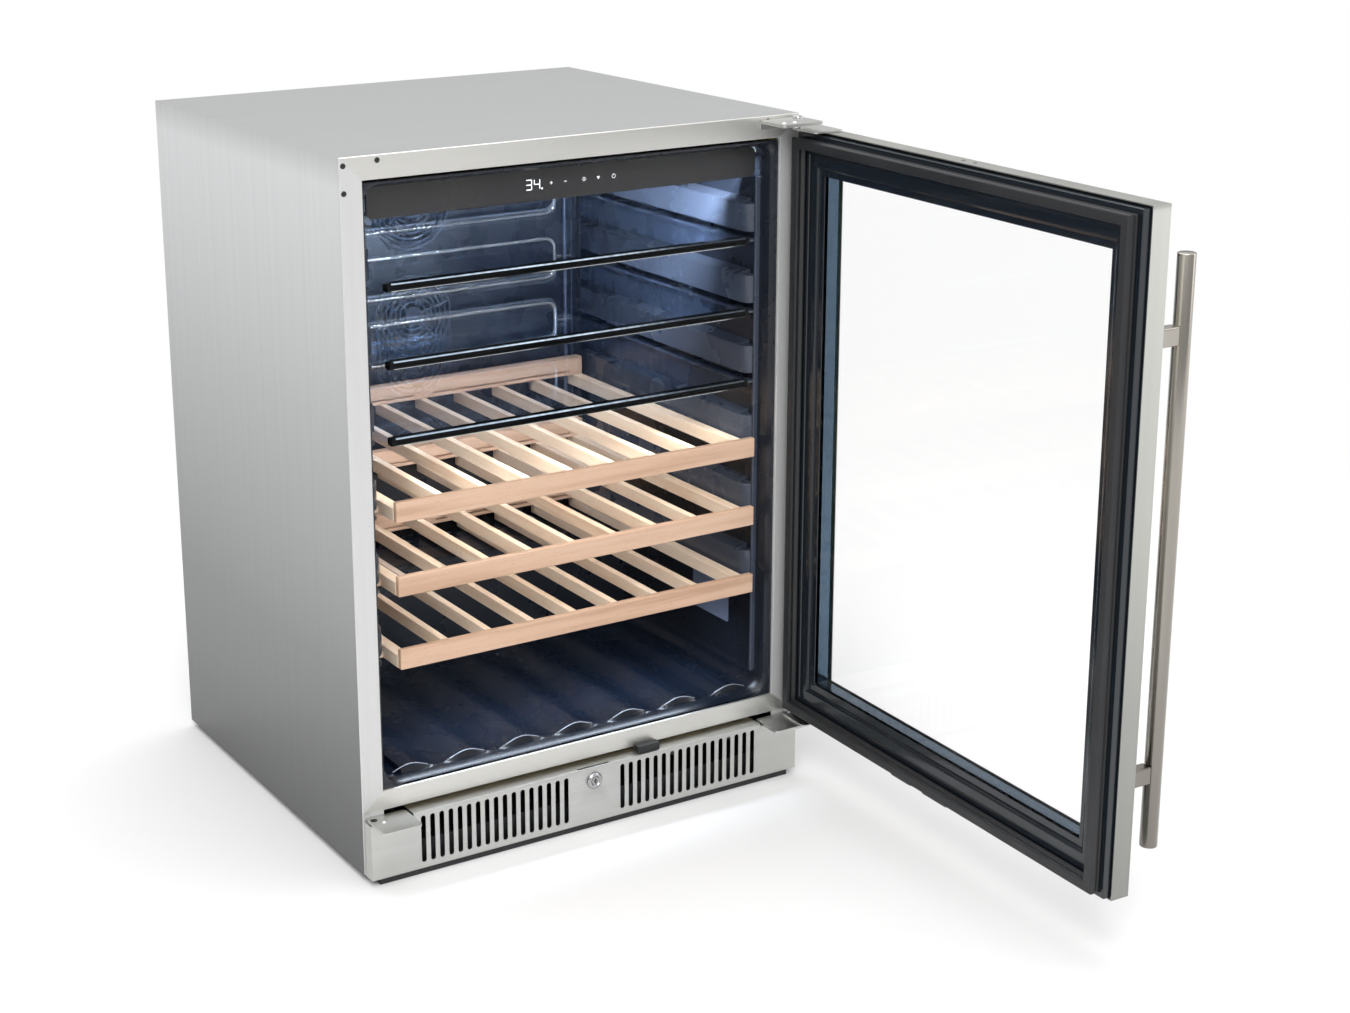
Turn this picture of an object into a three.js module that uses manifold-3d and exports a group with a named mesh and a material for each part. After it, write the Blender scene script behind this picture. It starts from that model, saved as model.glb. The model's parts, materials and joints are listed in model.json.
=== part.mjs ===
// Under-counter wine cooler with a glass door, three glass shelves and three beech racks.
// Millimetres. +X is to the right, the front faces -Y, +Z is up and the floor is z = 0.
// The origin lies on the floor, on the centre line, at the face frame's front plane.
// The door is drawn closed and stands open by DOOR_OPEN_DEG about its hinge pins.

import * as THREE from 'three';
import { mergeVertices } from 'three/addons/utils/BufferGeometryUtils.js';
import Module from 'manifold-3d';

const wasm = await Module();
wasm.setup();

// ---------- driving dimensions ----------

const GAP = 0.3; // left between pieces that touch
const SHEET = 1.2; // steel sheet
const CABINET_WIDTH = 595;
const CABINET_DEPTH = 533;
const CABINET_TOP = 836;
const SKIRT = 8; // the side panels end this far above the floor
const HALF = CABINET_WIDTH / 2;

const FRAME_THICK = 1.5;
const FRAME_SIDE = 26.6; // width of the face frame's uprights
const OPENING_BOTTOM = 107.8;
const OPENING_TOP = 808.5;
const OPENING_HALF = HALF - FRAME_SIDE;
const RAIL_BOTTOM = 84; // underside of the rail below the opening
const LEG_BOTTOM = SKIRT + 1.2; // the frame's legs end just above the base's front rail

const CAVITY_HALF = 262.5;
const CAVITY_FLOOR = 112;
const CAVITY_TOP = 798;
const CAVITY_BACK = 480;
const WALL = 2.2; // thickness of the moulded liner
const LINER_FRONT = 3;
const FLANGE_BACK = 11;

const RIDGES = 7; // bottle cradles moulded in the floor
const RIDGE_PITCH = 74.5;
const RIDGE_HEIGHT = 9;
const RIDGE_FRONT = 25;

const HUMP_FRONT = 330; // moulded step over the compressor
const HUMP_TOP = 244;

const LEVELS = 6; // shelf levels, the upper half glass, the lower half wood
const LEVEL_PITCH = 87.2;
const TOP_GUIDE = 727; // top of the highest guide block
const GUIDE_HEIGHT = 46;
const GUIDE_LIP = 3;
const GUIDE_HALF = 247; // from the centre line to a guide block's face
const GUIDE_FRONT = 45;
const GUIDE_BACK = 430;
const GROOVE = 9; // height of the groove that a shelf or a rack runs in

const DUCT_FRONT = 435; // the rear wall that is seen is the air duct's cover
const DUCT_BACK = 437;
const FAN_HEIGHTS = [686, 544];
const FAN_RADIUS = 48;

const KICK_FRONT = -17.3;
const KICK_TOP = 79.5;
const KICK_NOTCH = 76.2; // height of the kick plate's ends, under the hinge brackets
const KICK_MIDDLE = 242; // half the length of its full-height part
const SLOTS = 17;
const SLOT_PITCH = 11.9;
const SLOT_WIDTH = 6;
const SLOT_BOTTOM = 15.5;
const SLOT_TOP = 74;
const SLOT_GROUP = 134.5; // from the centre line to the middle of a group of slots

const DOOR_OPEN_DEG = 88;
const PIVOT_X = 288.5;
const PIVOT_Y = -9.5;
const DOOR_HALF = 296.95;
const DOOR_BOTTOM = 81.7;
const DOOR_TOP = 818.3;
const DOOR_OUTER = -47; // front of the closed door
const DOOR_STEEL_BACK = -23;
const DOOR_INNER = -14; // back of the closed door, without its gasket
const DOOR_STILE = 51;
const WINDOW_HALF = DOOR_HALF - DOOR_STILE;
const WINDOW_BOTTOM = DOOR_BOTTOM + DOOR_STILE;
const WINDOW_TOP = DOOR_TOP - DOOR_STILE;

const HANDLE_X = -DOOR_HALF + 25;
const HANDLE_Y = DOOR_OUTER - 47;
const HANDLE_RADIUS = 9.6;
const HANDLE_BOTTOM = 118;
const HANDLE_TOP = 761;
const POST_HEIGHTS = [203, 678];

const LOCK_Z = 62;
const LOCK_REACH = 25; // from the lock's axis to the tip of its tongue

// ---------- materials ----------

function finish(color, roughness, metalness) {
  return new THREE.MeshStandardMaterial({ color, roughness, metalness });
}

const BRUSHED = finish(0xb4b6b4, 0.35, 1);
const STEEL = finish(0xc4c3bc, 0.3, 1);
const CHROME = finish(0xd8dade, 0.1, 1);
const ZINC = finish(0x9a9c9e, 0.5, 1);
const LINER_BLACK = finish(0x10141c, 0.25, 0);
const PANEL_GREY = finish(0x3a3b3e, 0.3, 0);
const BLACK_PLASTIC = finish(0x161718, 0.45, 0);
const RUBBER = finish(0x1c1e20, 0.7, 0);
const FOAM = finish(0xd9cfa8, 0.9, 0);
const BEECH = finish(0xdeb898, 0.55, 0);
const ALUMINIUM = finish(0xb9bcc0, 0.4, 1);
const COPPER_BLACK = finish(0x202224, 0.4, 0.3);
const LIGHT = finish(0xf2f6ff, 0.4, 0);
const GLASS = new THREE.MeshStandardMaterial({
  color: 0xcfe6e6, roughness: 0.05, metalness: 0, transparent: true, opacity: 0.3,
});

// ---------- solids ----------

function toSolid(geometry) {
  const bare = geometry.index ? geometry.toNonIndexed() : geometry.clone();
  for (const name of Object.keys(bare.attributes)) {
    if (name !== 'position') bare.deleteAttribute(name);
  }
  const merged = mergeVertices(bare, 1e-4);
  const mesh = new wasm.Mesh({
    numProp: 3,
    vertProperties: new Float32Array(merged.attributes.position.array),
    triVerts: new Uint32Array(merged.index.array),
  });
  return new wasm.Manifold(mesh);
}

function toGeometry(solid) {
  const mesh = solid.getMesh();
  const geometry = new THREE.BufferGeometry();
  geometry.setAttribute('position', new THREE.BufferAttribute(mesh.vertProperties, 3));
  geometry.setIndex(new THREE.BufferAttribute(mesh.triVerts, 1));
  geometry.computeVertexNormals();
  return geometry;
}

function join(...solids) {
  return solids.reduce((all, solid) => all.add(solid));
}

function cut(solid, ...tools) {
  return tools.reduce((rest, tool) => rest.subtract(tool), solid);
}

function block(x0, x1, y0, y1, z0, z1) {
  const geometry = new THREE.BoxGeometry(x1 - x0, y1 - y0, z1 - z0);
  geometry.translate((x0 + x1) / 2, (y0 + y1) / 2, (z0 + z1) / 2);
  return toSolid(geometry);
}

// A drawing in X and Z, run from y0 to y1.
function alongY(shape, y0, y1, curveSegments = 5) {
  const geometry = new THREE.ExtrudeGeometry(shape, { depth: y1 - y0, bevelEnabled: false, curveSegments });
  geometry.rotateX(Math.PI / 2);
  geometry.translate(0, y1, 0);
  return toSolid(geometry);
}

// A drawing in X and Y, run from z0 to z1.
function alongZ(shape, z0, z1, curveSegments = 5) {
  const geometry = new THREE.ExtrudeGeometry(shape, { depth: z1 - z0, bevelEnabled: false, curveSegments });
  geometry.translate(0, 0, z0);
  return toSolid(geometry);
}

function roundedRect(x0, x1, y0, y1, radius) {
  const shape = new THREE.Shape();
  shape.moveTo(x0 + radius, y0);
  shape.lineTo(x1 - radius, y0);
  shape.absarc(x1 - radius, y0 + radius, radius, -Math.PI / 2, 0);
  shape.lineTo(x1, y1 - radius);
  shape.absarc(x1 - radius, y1 - radius, radius, 0, Math.PI / 2);
  shape.lineTo(x0 + radius, y1);
  shape.absarc(x0 + radius, y1 - radius, radius, Math.PI / 2, Math.PI);
  shape.lineTo(x0, y0 + radius);
  shape.absarc(x0 + radius, y0 + radius, radius, Math.PI, Math.PI * 1.5);
  return shape;
}

// A round rod along Z or Y, with its middle line at the two given places.
function rodZ(x, y, z0, z1, radius, sides = 20) {
  const geometry = new THREE.CylinderGeometry(radius, radius, z1 - z0, sides);
  geometry.rotateX(Math.PI / 2);
  geometry.translate(x, y, (z0 + z1) / 2);
  return toSolid(geometry);
}

function rodY(x, z, y0, y1, radius, sides = 20) {
  const geometry = new THREE.CylinderGeometry(radius, radius, y1 - y0, sides);
  geometry.translate(x, (y0 + y1) / 2, z);
  return toSolid(geometry);
}

// A rectangular ring about the door's or an opening's middle, run from y0 to y1.
function ringY(halfOut, bottomOut, topOut, halfIn, bottomIn, topIn, y0, y1) {
  return cut(
    block(-halfOut, halfOut, y0, y1, bottomOut, topOut),
    block(-halfIn, halfIn, y0 - 1, y1 + 1, bottomIn, topIn),
  );
}

// ---------- assembly ----------

const cooler = new THREE.Group();
cooler.name = 'wine_cooler';
const door = new THREE.Group();
door.position.set(PIVOT_X, PIVOT_Y, 0);
door.rotation.z = THREE.MathUtils.degToRad(DOOR_OPEN_DEG);
cooler.add(door);

function piece(name, solid, material) {
  const mesh = new THREE.Mesh(toGeometry(solid), material);
  mesh.name = name;
  cooler.add(mesh);
}

function doorPiece(name, solid, material) {
  const mesh = new THREE.Mesh(toGeometry(solid.translate([-PIVOT_X, -PIVOT_Y, 0])), material);
  mesh.name = name;
  door.add(mesh);
}

// ---------- cabinet shell ----------

function makeShell() {
  const wrapFront = FRAME_THICK + GAP;
  piece('cabinet_wrap', cut(
    block(-HALF, HALF, wrapFront, CABINET_DEPTH, SKIRT, CABINET_TOP),
    block(-HALF + SHEET, HALF - SHEET, 0, CABINET_DEPTH + 1, 0, CABINET_TOP - SHEET),
  ), BRUSHED);

  const backHalf = HALF - SHEET - GAP;
  let back = block(-backHalf, backHalf, CABINET_DEPTH - SHEET, CABINET_DEPTH, 12, CABINET_TOP - SHEET - GAP);
  for (let row = 0; row < 5; row += 1) {
    const z = 60 + row * 24;
    back = cut(back, block(-200, 60, CABINET_DEPTH - 5, CABINET_DEPTH + 5, z, z + 8));
  }
  piece('back_panel', back, ZINC);

  const panBack = CABINET_DEPTH - SHEET - GAP;
  piece('base_pan', cut(
    block(-backHalf, backHalf, 3, panBack, 9, 34),
    block(-backHalf + SHEET, backHalf - SHEET, 3 + SHEET, panBack - SHEET, 10.5, 40),
  ), ZINC);

  piece('base_front_rail', block(-285, 285, -14, 20, 0, 9 - GAP), BLACK_PLASTIC);

  const feet = { left_front: [-270, 55], right_front: [270, 55], left_rear: [-270, 490], right_rear: [270, 490] };
  for (const [place, [x, y]] of Object.entries(feet)) {
    piece(`foot_${place}`, join(rodZ(x, y, 0, 6, 15, 16), rodZ(x, y, 5.5, 9 - GAP, 5, 10)), BLACK_PLASTIC);
  }
}

function makeFaceFrame() {
  const outline = ringY(HALF, LEG_BOTTOM, CABINET_TOP, OPENING_HALF, OPENING_BOTTOM, OPENING_TOP, 0, FRAME_THICK);
  const inner = ringY(
    OPENING_HALF + SHEET, OPENING_BOTTOM - SHEET, OPENING_TOP + SHEET,
    OPENING_HALF, OPENING_BOTTOM, OPENING_TOP, FRAME_THICK - 0.5, 8,
  );
  const ventWay = block(-OPENING_HALF, OPENING_HALF, -1, 20, 0, RAIL_BOTTOM);
  piece('face_frame', cut(join(outline, inner), ventWay), STEEL);
}

// ---------- liner and insulation ----------

function cavityOutline(ridged) {
  const bottomRadius = 26;
  const topRadius = 14;
  const shape = new THREE.Shape();
  const side = CAVITY_HALF;
  shape.moveTo(-side + bottomRadius, CAVITY_FLOOR);
  if (ridged) {
    const steps = RIDGES * 8;
    const span = RIDGES * RIDGE_PITCH;
    for (let i = 1; i < steps; i += 1) {
      const x = -span / 2 + (span * i) / steps;
      const rise = (RIDGE_HEIGHT / 2) * (1 + Math.cos((2 * Math.PI * x) / RIDGE_PITCH));
      if (Math.abs(x) < side - bottomRadius) shape.lineTo(x, CAVITY_FLOOR + rise);
    }
  }
  shape.lineTo(side - bottomRadius, CAVITY_FLOOR);
  shape.absarc(side - bottomRadius, CAVITY_FLOOR + bottomRadius, bottomRadius, -Math.PI / 2, 0);
  shape.lineTo(side, CAVITY_TOP - topRadius);
  shape.absarc(side - topRadius, CAVITY_TOP - topRadius, topRadius, 0, Math.PI / 2);
  shape.lineTo(-side + topRadius, CAVITY_TOP);
  shape.absarc(-side + topRadius, CAVITY_TOP - topRadius, topRadius, Math.PI / 2, Math.PI);
  shape.lineTo(-side, CAVITY_FLOOR + bottomRadius);
  shape.absarc(-side + bottomRadius, CAVITY_FLOOR + bottomRadius, bottomRadius, Math.PI, Math.PI * 1.5);
  return shape;
}

function levelTop(level) {
  return TOP_GUIDE - level * LEVEL_PITCH;
}

function guideBlock(level, sign) {
  const top = levelTop(level);
  const low = top - GUIDE_HEIGHT;
  const outer = CAVITY_HALF + 1;
  const [x0, x1] = sign > 0 ? [GUIDE_HALF, outer] : [-outer, -GUIDE_HALF];
  const [g0, g1] = sign > 0 ? [GUIDE_HALF - 1, CAVITY_HALF] : [-CAVITY_HALF, -GUIDE_HALF + 1];
  return cut(
    block(x0, x1, GUIDE_FRONT, GUIDE_BACK, low, top),
    block(g0, g1, GUIDE_FRONT - 1, GUIDE_BACK + 1, low + GUIDE_LIP, low + GUIDE_LIP + GROOVE),
  );
}

function makeLiner() {
  const wallHalf = CAVITY_HALF + WALL;
  const body = alongY(
    roundedRect(-wallHalf, wallHalf, CAVITY_FLOOR - WALL, CAVITY_TOP + WALL, 16),
    FLANGE_BACK - 1, CAVITY_BACK + WALL, 4,
  );
  const flangeHalf = OPENING_HALF - GAP;
  const flange = block(
    -flangeHalf, flangeHalf, LINER_FRONT, FLANGE_BACK, OPENING_BOTTOM + GAP, OPENING_TOP - GAP,
  );
  let liner = cut(
    join(body, flange),
    alongY(cavityOutline(false), 0, RIDGE_FRONT),
    alongY(cavityOutline(true), RIDGE_FRONT - 0.01, CAVITY_BACK),
  );
  for (let level = 0; level < LEVELS; level += 1) {
    liner = join(liner, guideBlock(level, 1), guideBlock(level, -1));
  }
  const hump = block(-CAVITY_HALF - 1, CAVITY_HALF + 1, HUMP_FRONT, CAVITY_BACK + 1, CAVITY_FLOOR - 1, HUMP_TOP);
  const under = block(-260, 260, HUMP_FRONT + 4, CAVITY_BACK + 20, CAVITY_FLOOR - 20, HUMP_TOP - 4);
  piece('inner_liner', cut(join(liner, hump), under), LINER_BLACK);

  const foamHalf = HALF - SHEET - 0.8;
  const foamTop = CABINET_TOP - SHEET - 0.6;
  const foamBack = CABINET_DEPTH - SHEET - 0.8;
  const linerSpace = block(-265, 265, 11, CAVITY_BACK + WALL + GAP, CAVITY_FLOOR - WALL - GAP, 808.8);
  const bay = block(-290, 290, 362, CABINET_DEPTH, 40, 210);
  const shell = cut(block(-foamHalf, foamHalf, 12, foamBack, RAIL_BOTTOM + 0.5, foamTop), linerSpace, bay);
  const plug = cut(block(-259.6, 259.6, HUMP_FRONT + 4.4, CAVITY_BACK + 6, 100, HUMP_TOP - 4.4), bay);
  piece('insulation_foam', join(shell, plug), FOAM);
}

// ---------- cooling system ----------

function rotor(x, y, z, radius, depth, blades) {
  let fan = rodY(x, z, y - depth / 2, y + depth / 2, radius * 0.36, 16);
  for (let i = 0; i < blades; i += 1) {
    const geometry = new THREE.BoxGeometry(radius * 0.74, 1.6, radius * 0.44);
    geometry.rotateX(0.5);
    geometry.translate(radius * 0.6, 0, 0);
    geometry.rotateY((2 * Math.PI * i) / blades);
    geometry.translate(x, y, z);
    fan = join(fan, toSolid(geometry));
  }
  return fan;
}

function ringGrille(z) {
  const front = DUCT_FRONT - 4;
  const back = DUCT_FRONT - GAP;
  const rings = [[56, 52], [42, 39.5], [30, 27.5], [18, 0]];
  let grille = null;
  for (const [outer, inner] of rings) {
    let ring = rodY(0, z, front, back, outer, 14);
    if (inner > 0) ring = cut(ring, rodY(0, z, front - 1, back + 1, inner, 14));
    grille = grille ? join(grille, ring) : ring;
  }
  for (let i = 0; i < 3; i += 1) {
    const bar = new THREE.BoxGeometry(108, back - front, 3);
    bar.rotateY((Math.PI * i) / 3);
    bar.translate(0, (front + back) / 2, z);
    grille = join(grille, toSolid(bar));
  }
  return grille;
}

function makeCooling() {
  let duct = block(-256, 256, DUCT_FRONT, DUCT_BACK, HUMP_TOP + GAP, CAVITY_TOP - 4);
  for (const sign of [-1, 1]) {
    for (const x of [243, 252]) {
      duct = join(duct, block(sign * x - 2, sign * x + 2, DUCT_FRONT - 4, DUCT_BACK - 0.5, 262, 780));
    }
  }
  for (const z of FAN_HEIGHTS) duct = cut(duct, rodY(0, z, DUCT_FRONT - 5, DUCT_BACK + 5, 51, 24));
  piece('rear_duct_cover', duct, LINER_BLACK);

  const names = ['upper', 'lower'];
  FAN_HEIGHTS.forEach((z, i) => {
    piece(`fan_grille_${names[i]}`, ringGrille(z), LINER_BLACK);
    piece(`evaporator_fan_${names[i]}`, rotor(0, 449, z, FAN_RADIUS, 16, 5), BLACK_PLASTIC);
  });

  let coil = block(-200, 200, 463, 476, 290, 780);
  for (let fin = 0; fin < 12; fin += 1) {
    const z = 305 + fin * 40;
    coil = cut(coil, block(-196, 196, 460, 470, z, z + 26));
  }
  piece('evaporator_coil', coil, ALUMINIUM);

  const profile = [[0, 18], [58, 18], [66, 30], [68, 60], [68, 120], [62, 148], [44, 166], [20, 172], [0, 173]];
  const pot = new THREE.LatheGeometry(profile.map(([r, z]) => new THREE.Vector2(r, z)), 20);
  pot.rotateX(Math.PI / 2);
  pot.translate(150, 448, 0);
  const mount = block(70, 230, 384, 512, 10.8, 18.5);
  piece('compressor', join(toSolid(pot), mount), COPPER_BLACK);

  piece('drain_pan', cut(block(-230, 40, 390, 512, 10.8, 32), block(-227, 37, 393, 509, 13, 40)), BLACK_PLASTIC);

  let fins = block(-236, 70, 60, 250, 11, 76);
  for (let fin = 0; fin < 12; fin += 1) {
    const x = -228 + fin * 25;
    fins = cut(fins, block(x, x + 18, 50, 260, 16, 71));
  }
  piece('condenser', fins, COPPER_BLACK);
  piece('condenser_fan', rotor(165, 150, 45, 30, 14, 5), BLACK_PLASTIC);
}

// ---------- control strip and light ----------

function makeControls() {
  const half = 254.5;
  const front = 27;
  const back = 31;
  const bottom = 761;
  const top = 797.2;
  piece('control_panel', join(
    alongY(roundedRect(-half, half, bottom, top, 8), front, back, 3),
    block(-half + 4, half - 4, back - 0.5, 62, bottom + 2, bottom + 4.5),
  ), PANEL_GREY);
  piece('light_strip', block(-220, 220, 36, 52, CAVITY_TOP - 8, CAVITY_TOP - GAP), LIGHT);
}

// ---------- kick plate, lock, door sensor ----------

function makeKickPlate() {
  const end = 296.2;
  const back = KICK_FRONT + SHEET;
  const sides = cut(
    block(-end, end, KICK_FRONT, -GAP, SKIRT + GAP, KICK_NOTCH),
    block(-end + SHEET, end - SHEET, back, 0, 0, 100),
  );
  const middle = block(-KICK_MIDDLE, KICK_MIDDLE, KICK_FRONT, back, 20, KICK_TOP);
  const flange = block(-KICK_MIDDLE, KICK_MIDDLE, KICK_FRONT, -6, KICK_TOP - SHEET, KICK_TOP);
  let plate = join(sides, middle, flange);
  for (const group of [-SLOT_GROUP, SLOT_GROUP]) {
    for (let i = 0; i < SLOTS; i += 1) {
      const x = group + (i - (SLOTS - 1) / 2) * SLOT_PITCH;
      const radius = SLOT_WIDTH / 2;
      const slot = roundedRect(x - radius, x + radius, SLOT_BOTTOM, SLOT_TOP, radius - 0.01);
      plate = cut(plate, alongY(slot, KICK_FRONT - 1, back + 1, 1));
    }
  }
  plate = cut(
    plate,
    rodY(0, LOCK_Z, KICK_FRONT - 1, back + 1, 8 + GAP, 20),
    block(-22, 22, -15.4, -12.4, KICK_TOP - 5, KICK_TOP + 1),
  );
  piece('kick_plate', plate, STEEL);
}

function makeLock() {
  const face = KICK_FRONT - 3;
  piece('lock_housing', cut(
    join(
      rodY(0, LOCK_Z, face, KICK_FRONT - GAP, 10.5, 24),
      rodY(0, LOCK_Z, face + 1, KICK_FRONT + 2, 8, 20),
    ),
    rodY(0, LOCK_Z, face - 1, 0, 5.4, 20),
  ), CHROME);
  const tongue = block(0, LOCK_REACH, -14.9, -12.9, LOCK_Z - 4, LOCK_Z + 4);
  const plug = rodY(0, LOCK_Z, face + 0.6, -12.9, 5, 20);
  const keyWay = block(-0.8, 0.8, face - 1, face + 3, LOCK_Z - 3.4, LOCK_Z + 3.4);
  piece('lock_cylinder', cut(join(plug, tongue), keyWay), CHROME);
  piece('door_sensor', block(65, 95, -13, -2, KICK_TOP + GAP, 88), BLACK_PLASTIC);
}

// ---------- hinges ----------

const BRACKET_TOP = KICK_TOP;
const BRACKET_THICK = 3;

function lowerBracket(sign) {
  const plate = alongZ(roundedRect(245, 294.5, -48, -1, 5), BRACKET_TOP - BRACKET_THICK, BRACKET_TOP, 3);
  const tab = block(249, 292, -3.3, -GAP, 40, BRACKET_TOP - 1);
  const bracket = cut(join(plate, tab), rodZ(PIVOT_X, PIVOT_Y, 70, 90, 4 + GAP, 16));
  return sign > 0 ? bracket : bracket.mirror([1, 0, 0]);
}

function hingeLeaf(z0, z1) {
  const reach = PIVOT_Y + 5.9;
  const plate = alongZ(roundedRect(244, PIVOT_X + 5.9, -44, reach, 5.8), z0, z1, 3);
  return cut(plate, rodZ(PIVOT_X, PIVOT_Y, z0 - 1, z1 + 1, 4.4, 16));
}

function makeHinges() {
  piece('hinge_bracket_lower_right', lowerBracket(1), STEEL);
  piece('hinge_bracket_lower_left', lowerBracket(-1), STEEL);
  piece('hinge_pin_lower', rodZ(PIVOT_X, PIVOT_Y, BRACKET_TOP - BRACKET_THICK, DOOR_BOTTOM - GAP, 4, 16), CHROME);

  const low = 828.5;
  const high = 832;
  const plate = alongZ(roundedRect(239.5, 297, -50, -GAP, 5), low, high, 3);
  const flange = block(241, 295, -2.6, -GAP, 821.5, low + 1);
  piece('hinge_bracket_top', cut(
    join(plate, flange), rodZ(PIVOT_X, PIVOT_Y, low - 1, high + 1, 4 + GAP, 16),
  ), STEEL);
  piece('hinge_pin_top', join(
    rodZ(PIVOT_X, PIVOT_Y, DOOR_TOP + GAP, high + 2, 4, 16),
    rodZ(PIVOT_X, PIVOT_Y, 821, low - GAP, 6.5, 16),
    rodZ(PIVOT_X, PIVOT_Y, high + GAP, high + 2, 6, 16),
  ), CHROME);

  doorPiece('hinge_leaf_top', hingeLeaf(DOOR_TOP + 0.4, 820.7), STEEL);
  doorPiece('hinge_leaf_lower', hingeLeaf(BRACKET_TOP + 0.4, DOOR_BOTTOM - 0.4), STEEL);
}

// ---------- door ----------

function makeDoor() {
  const face = ringY(
    DOOR_HALF, DOOR_BOTTOM, DOOR_TOP, WINDOW_HALF, WINDOW_BOTTOM, WINDOW_TOP,
    DOOR_OUTER, DOOR_OUTER + SHEET,
  );
  const edge = ringY(
    DOOR_HALF, DOOR_BOTTOM, DOOR_TOP, DOOR_HALF - SHEET, DOOR_BOTTOM + SHEET, DOOR_TOP - SHEET,
    DOOR_OUTER, DOOR_STEEL_BACK,
  );
  doorPiece('door_outer_frame', join(face, edge), BRUSHED);

  const inset = 3;
  const outHalf = DOOR_HALF - inset;
  const outBottom = DOOR_BOTTOM + inset;
  const outTop = DOOR_TOP - inset;
  const paneOver = 12; // how far the panes run past the window
  const paneHalf = WINDOW_HALF + paneOver;
  const paneBottom = WINDOW_BOTTOM - paneOver;
  const paneTop = WINDOW_TOP + paneOver;
  const lipBack = -21.1;
  const lip = 8;
  const holder = ringY(
    outHalf, outBottom, outTop, paneHalf + 0.5, paneBottom - 0.5, paneTop + 0.5,
    DOOR_OUTER + 2, lipBack,
  );
  const front = ringY(
    outHalf, outBottom, outTop, WINDOW_HALF + lip, WINDOW_BOTTOM - lip, WINDOW_TOP + lip,
    lipBack - 0.2, DOOR_INNER,
  );
  const step = ringY(
    WINDOW_HALF + lip + 1, WINDOW_BOTTOM - lip - 1, WINDOW_TOP + lip + 1,
    WINDOW_HALF, WINDOW_BOTTOM, WINDOW_TOP, lipBack, -17.5,
  );
  const keeperRecess = block(-25, 25, -17.5, DOOR_INNER + 1, DOOR_BOTTOM, 89.2);
  doorPiece('door_inner_frame', cut(join(holder, front, step), keeperRecess), BLACK_PLASTIC);

  doorPiece('door_glass_outer', block(-paneHalf, paneHalf, -45.5, -40.5, paneBottom, paneTop), GLASS);
  doorPiece('door_glass_inner', block(-paneHalf, paneHalf, -25.4, -21.4, paneBottom, paneTop), GLASS);
  doorPiece('door_glass_spacer', ringY(
    paneHalf - 1, paneBottom + 1, paneTop - 1, WINDOW_HALF, WINDOW_BOTTOM, WINDOW_TOP, -40.2, -25.7,
  ), BLACK_PLASTIC);

  const sealOut = 8;
  const sealIn = 22;
  doorPiece('door_gasket', ringY(
    DOOR_HALF - sealOut, DOOR_BOTTOM + sealOut, DOOR_TOP - sealOut,
    DOOR_HALF - sealIn, DOOR_BOTTOM + sealIn, DOOR_TOP - sealIn, DOOR_INNER + GAP, -0.7,
  ), RUBBER);

  const under = DOOR_BOTTOM - GAP;
  doorPiece('lock_keeper', block(-22, 22, -31, -19, 76.4, under), BLACK_PLASTIC);
  doorPiece('sensor_magnet', block(45, 82, -31, -19, 76.4, under), BLACK_PLASTIC);
}

function makeHandle() {
  doorPiece('handle_bar', rodZ(HANDLE_X, HANDLE_Y, HANDLE_BOTTOM, HANDLE_TOP, HANDLE_RADIUS, 20), STEEL);
  const names = ['lower', 'upper'];
  POST_HEIGHTS.forEach((z, i) => {
    const end = HANDLE_Y + HANDLE_RADIUS + GAP;
    const post = roundedRect(HANDLE_X - 7, HANDLE_X + 7, z - 10, z + 10, 2);
    doorPiece(`handle_post_${names[i]}`, alongY(post, end, DOOR_OUTER - GAP, 2), STEEL);
  });
}

// ---------- glass shelves ----------

function makeGlassShelf(level) {
  const name = `glass_shelf_${level + 1}`;
  const bottom = levelTop(level) - GUIDE_HEIGHT + GUIDE_LIP + 0.5;
  const thick = 5;
  const half = 255;
  const trimHalf = 238.5;
  const outline = new THREE.Shape();
  outline.moveTo(-236, 20);
  outline.lineTo(236, 20);
  outline.lineTo(251, 42);
  outline.lineTo(half, 54);
  outline.lineTo(half, 420);
  outline.lineTo(-half, 420);
  outline.lineTo(-half, 54);
  outline.lineTo(-251, 42);
  const pane = alongZ(outline, bottom, bottom + thick);
  const pocket = block(-240, 240, 15, 27, bottom - GAP, bottom + thick + GAP);
  const trim = cut(block(-trimHalf, trimHalf, 14, 26, bottom - 2.5, bottom + thick + 1.5), pocket);
  piece(`${name}_pane`, cut(pane, block(-300, 300, 0, 20.2, 0, 900)), GLASS);
  piece(`${name}_trim`, trim, BLACK_PLASTIC);

  const loopHalf = 212;
  const loopRise = 29;
  const wire = 5;
  const middle = bottom + thick / 2;
  const loop = cut(
    alongY(roundedRect(-loopHalf, loopHalf, middle - loopRise, middle + loopRise, 18), 422, 422 + wire, 4),
    alongY(roundedRect(
      -loopHalf + wire, loopHalf - wire, middle - loopRise + wire, middle + loopRise - wire, 13,
    ), 420, 430, 4),
  );
  const clips = [-1, 1].map((sign) => {
    const near = sign * (loopHalf - 2);
    const far = sign * (loopHalf + 22);
    return block(Math.min(near, far), Math.max(near, far), 422, 422 + wire, middle - 2.5, middle + 2.5);
  });
  piece(`${name}_guard`, join(loop, ...clips), CHROME);
}

// ---------- beech racks ----------

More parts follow.
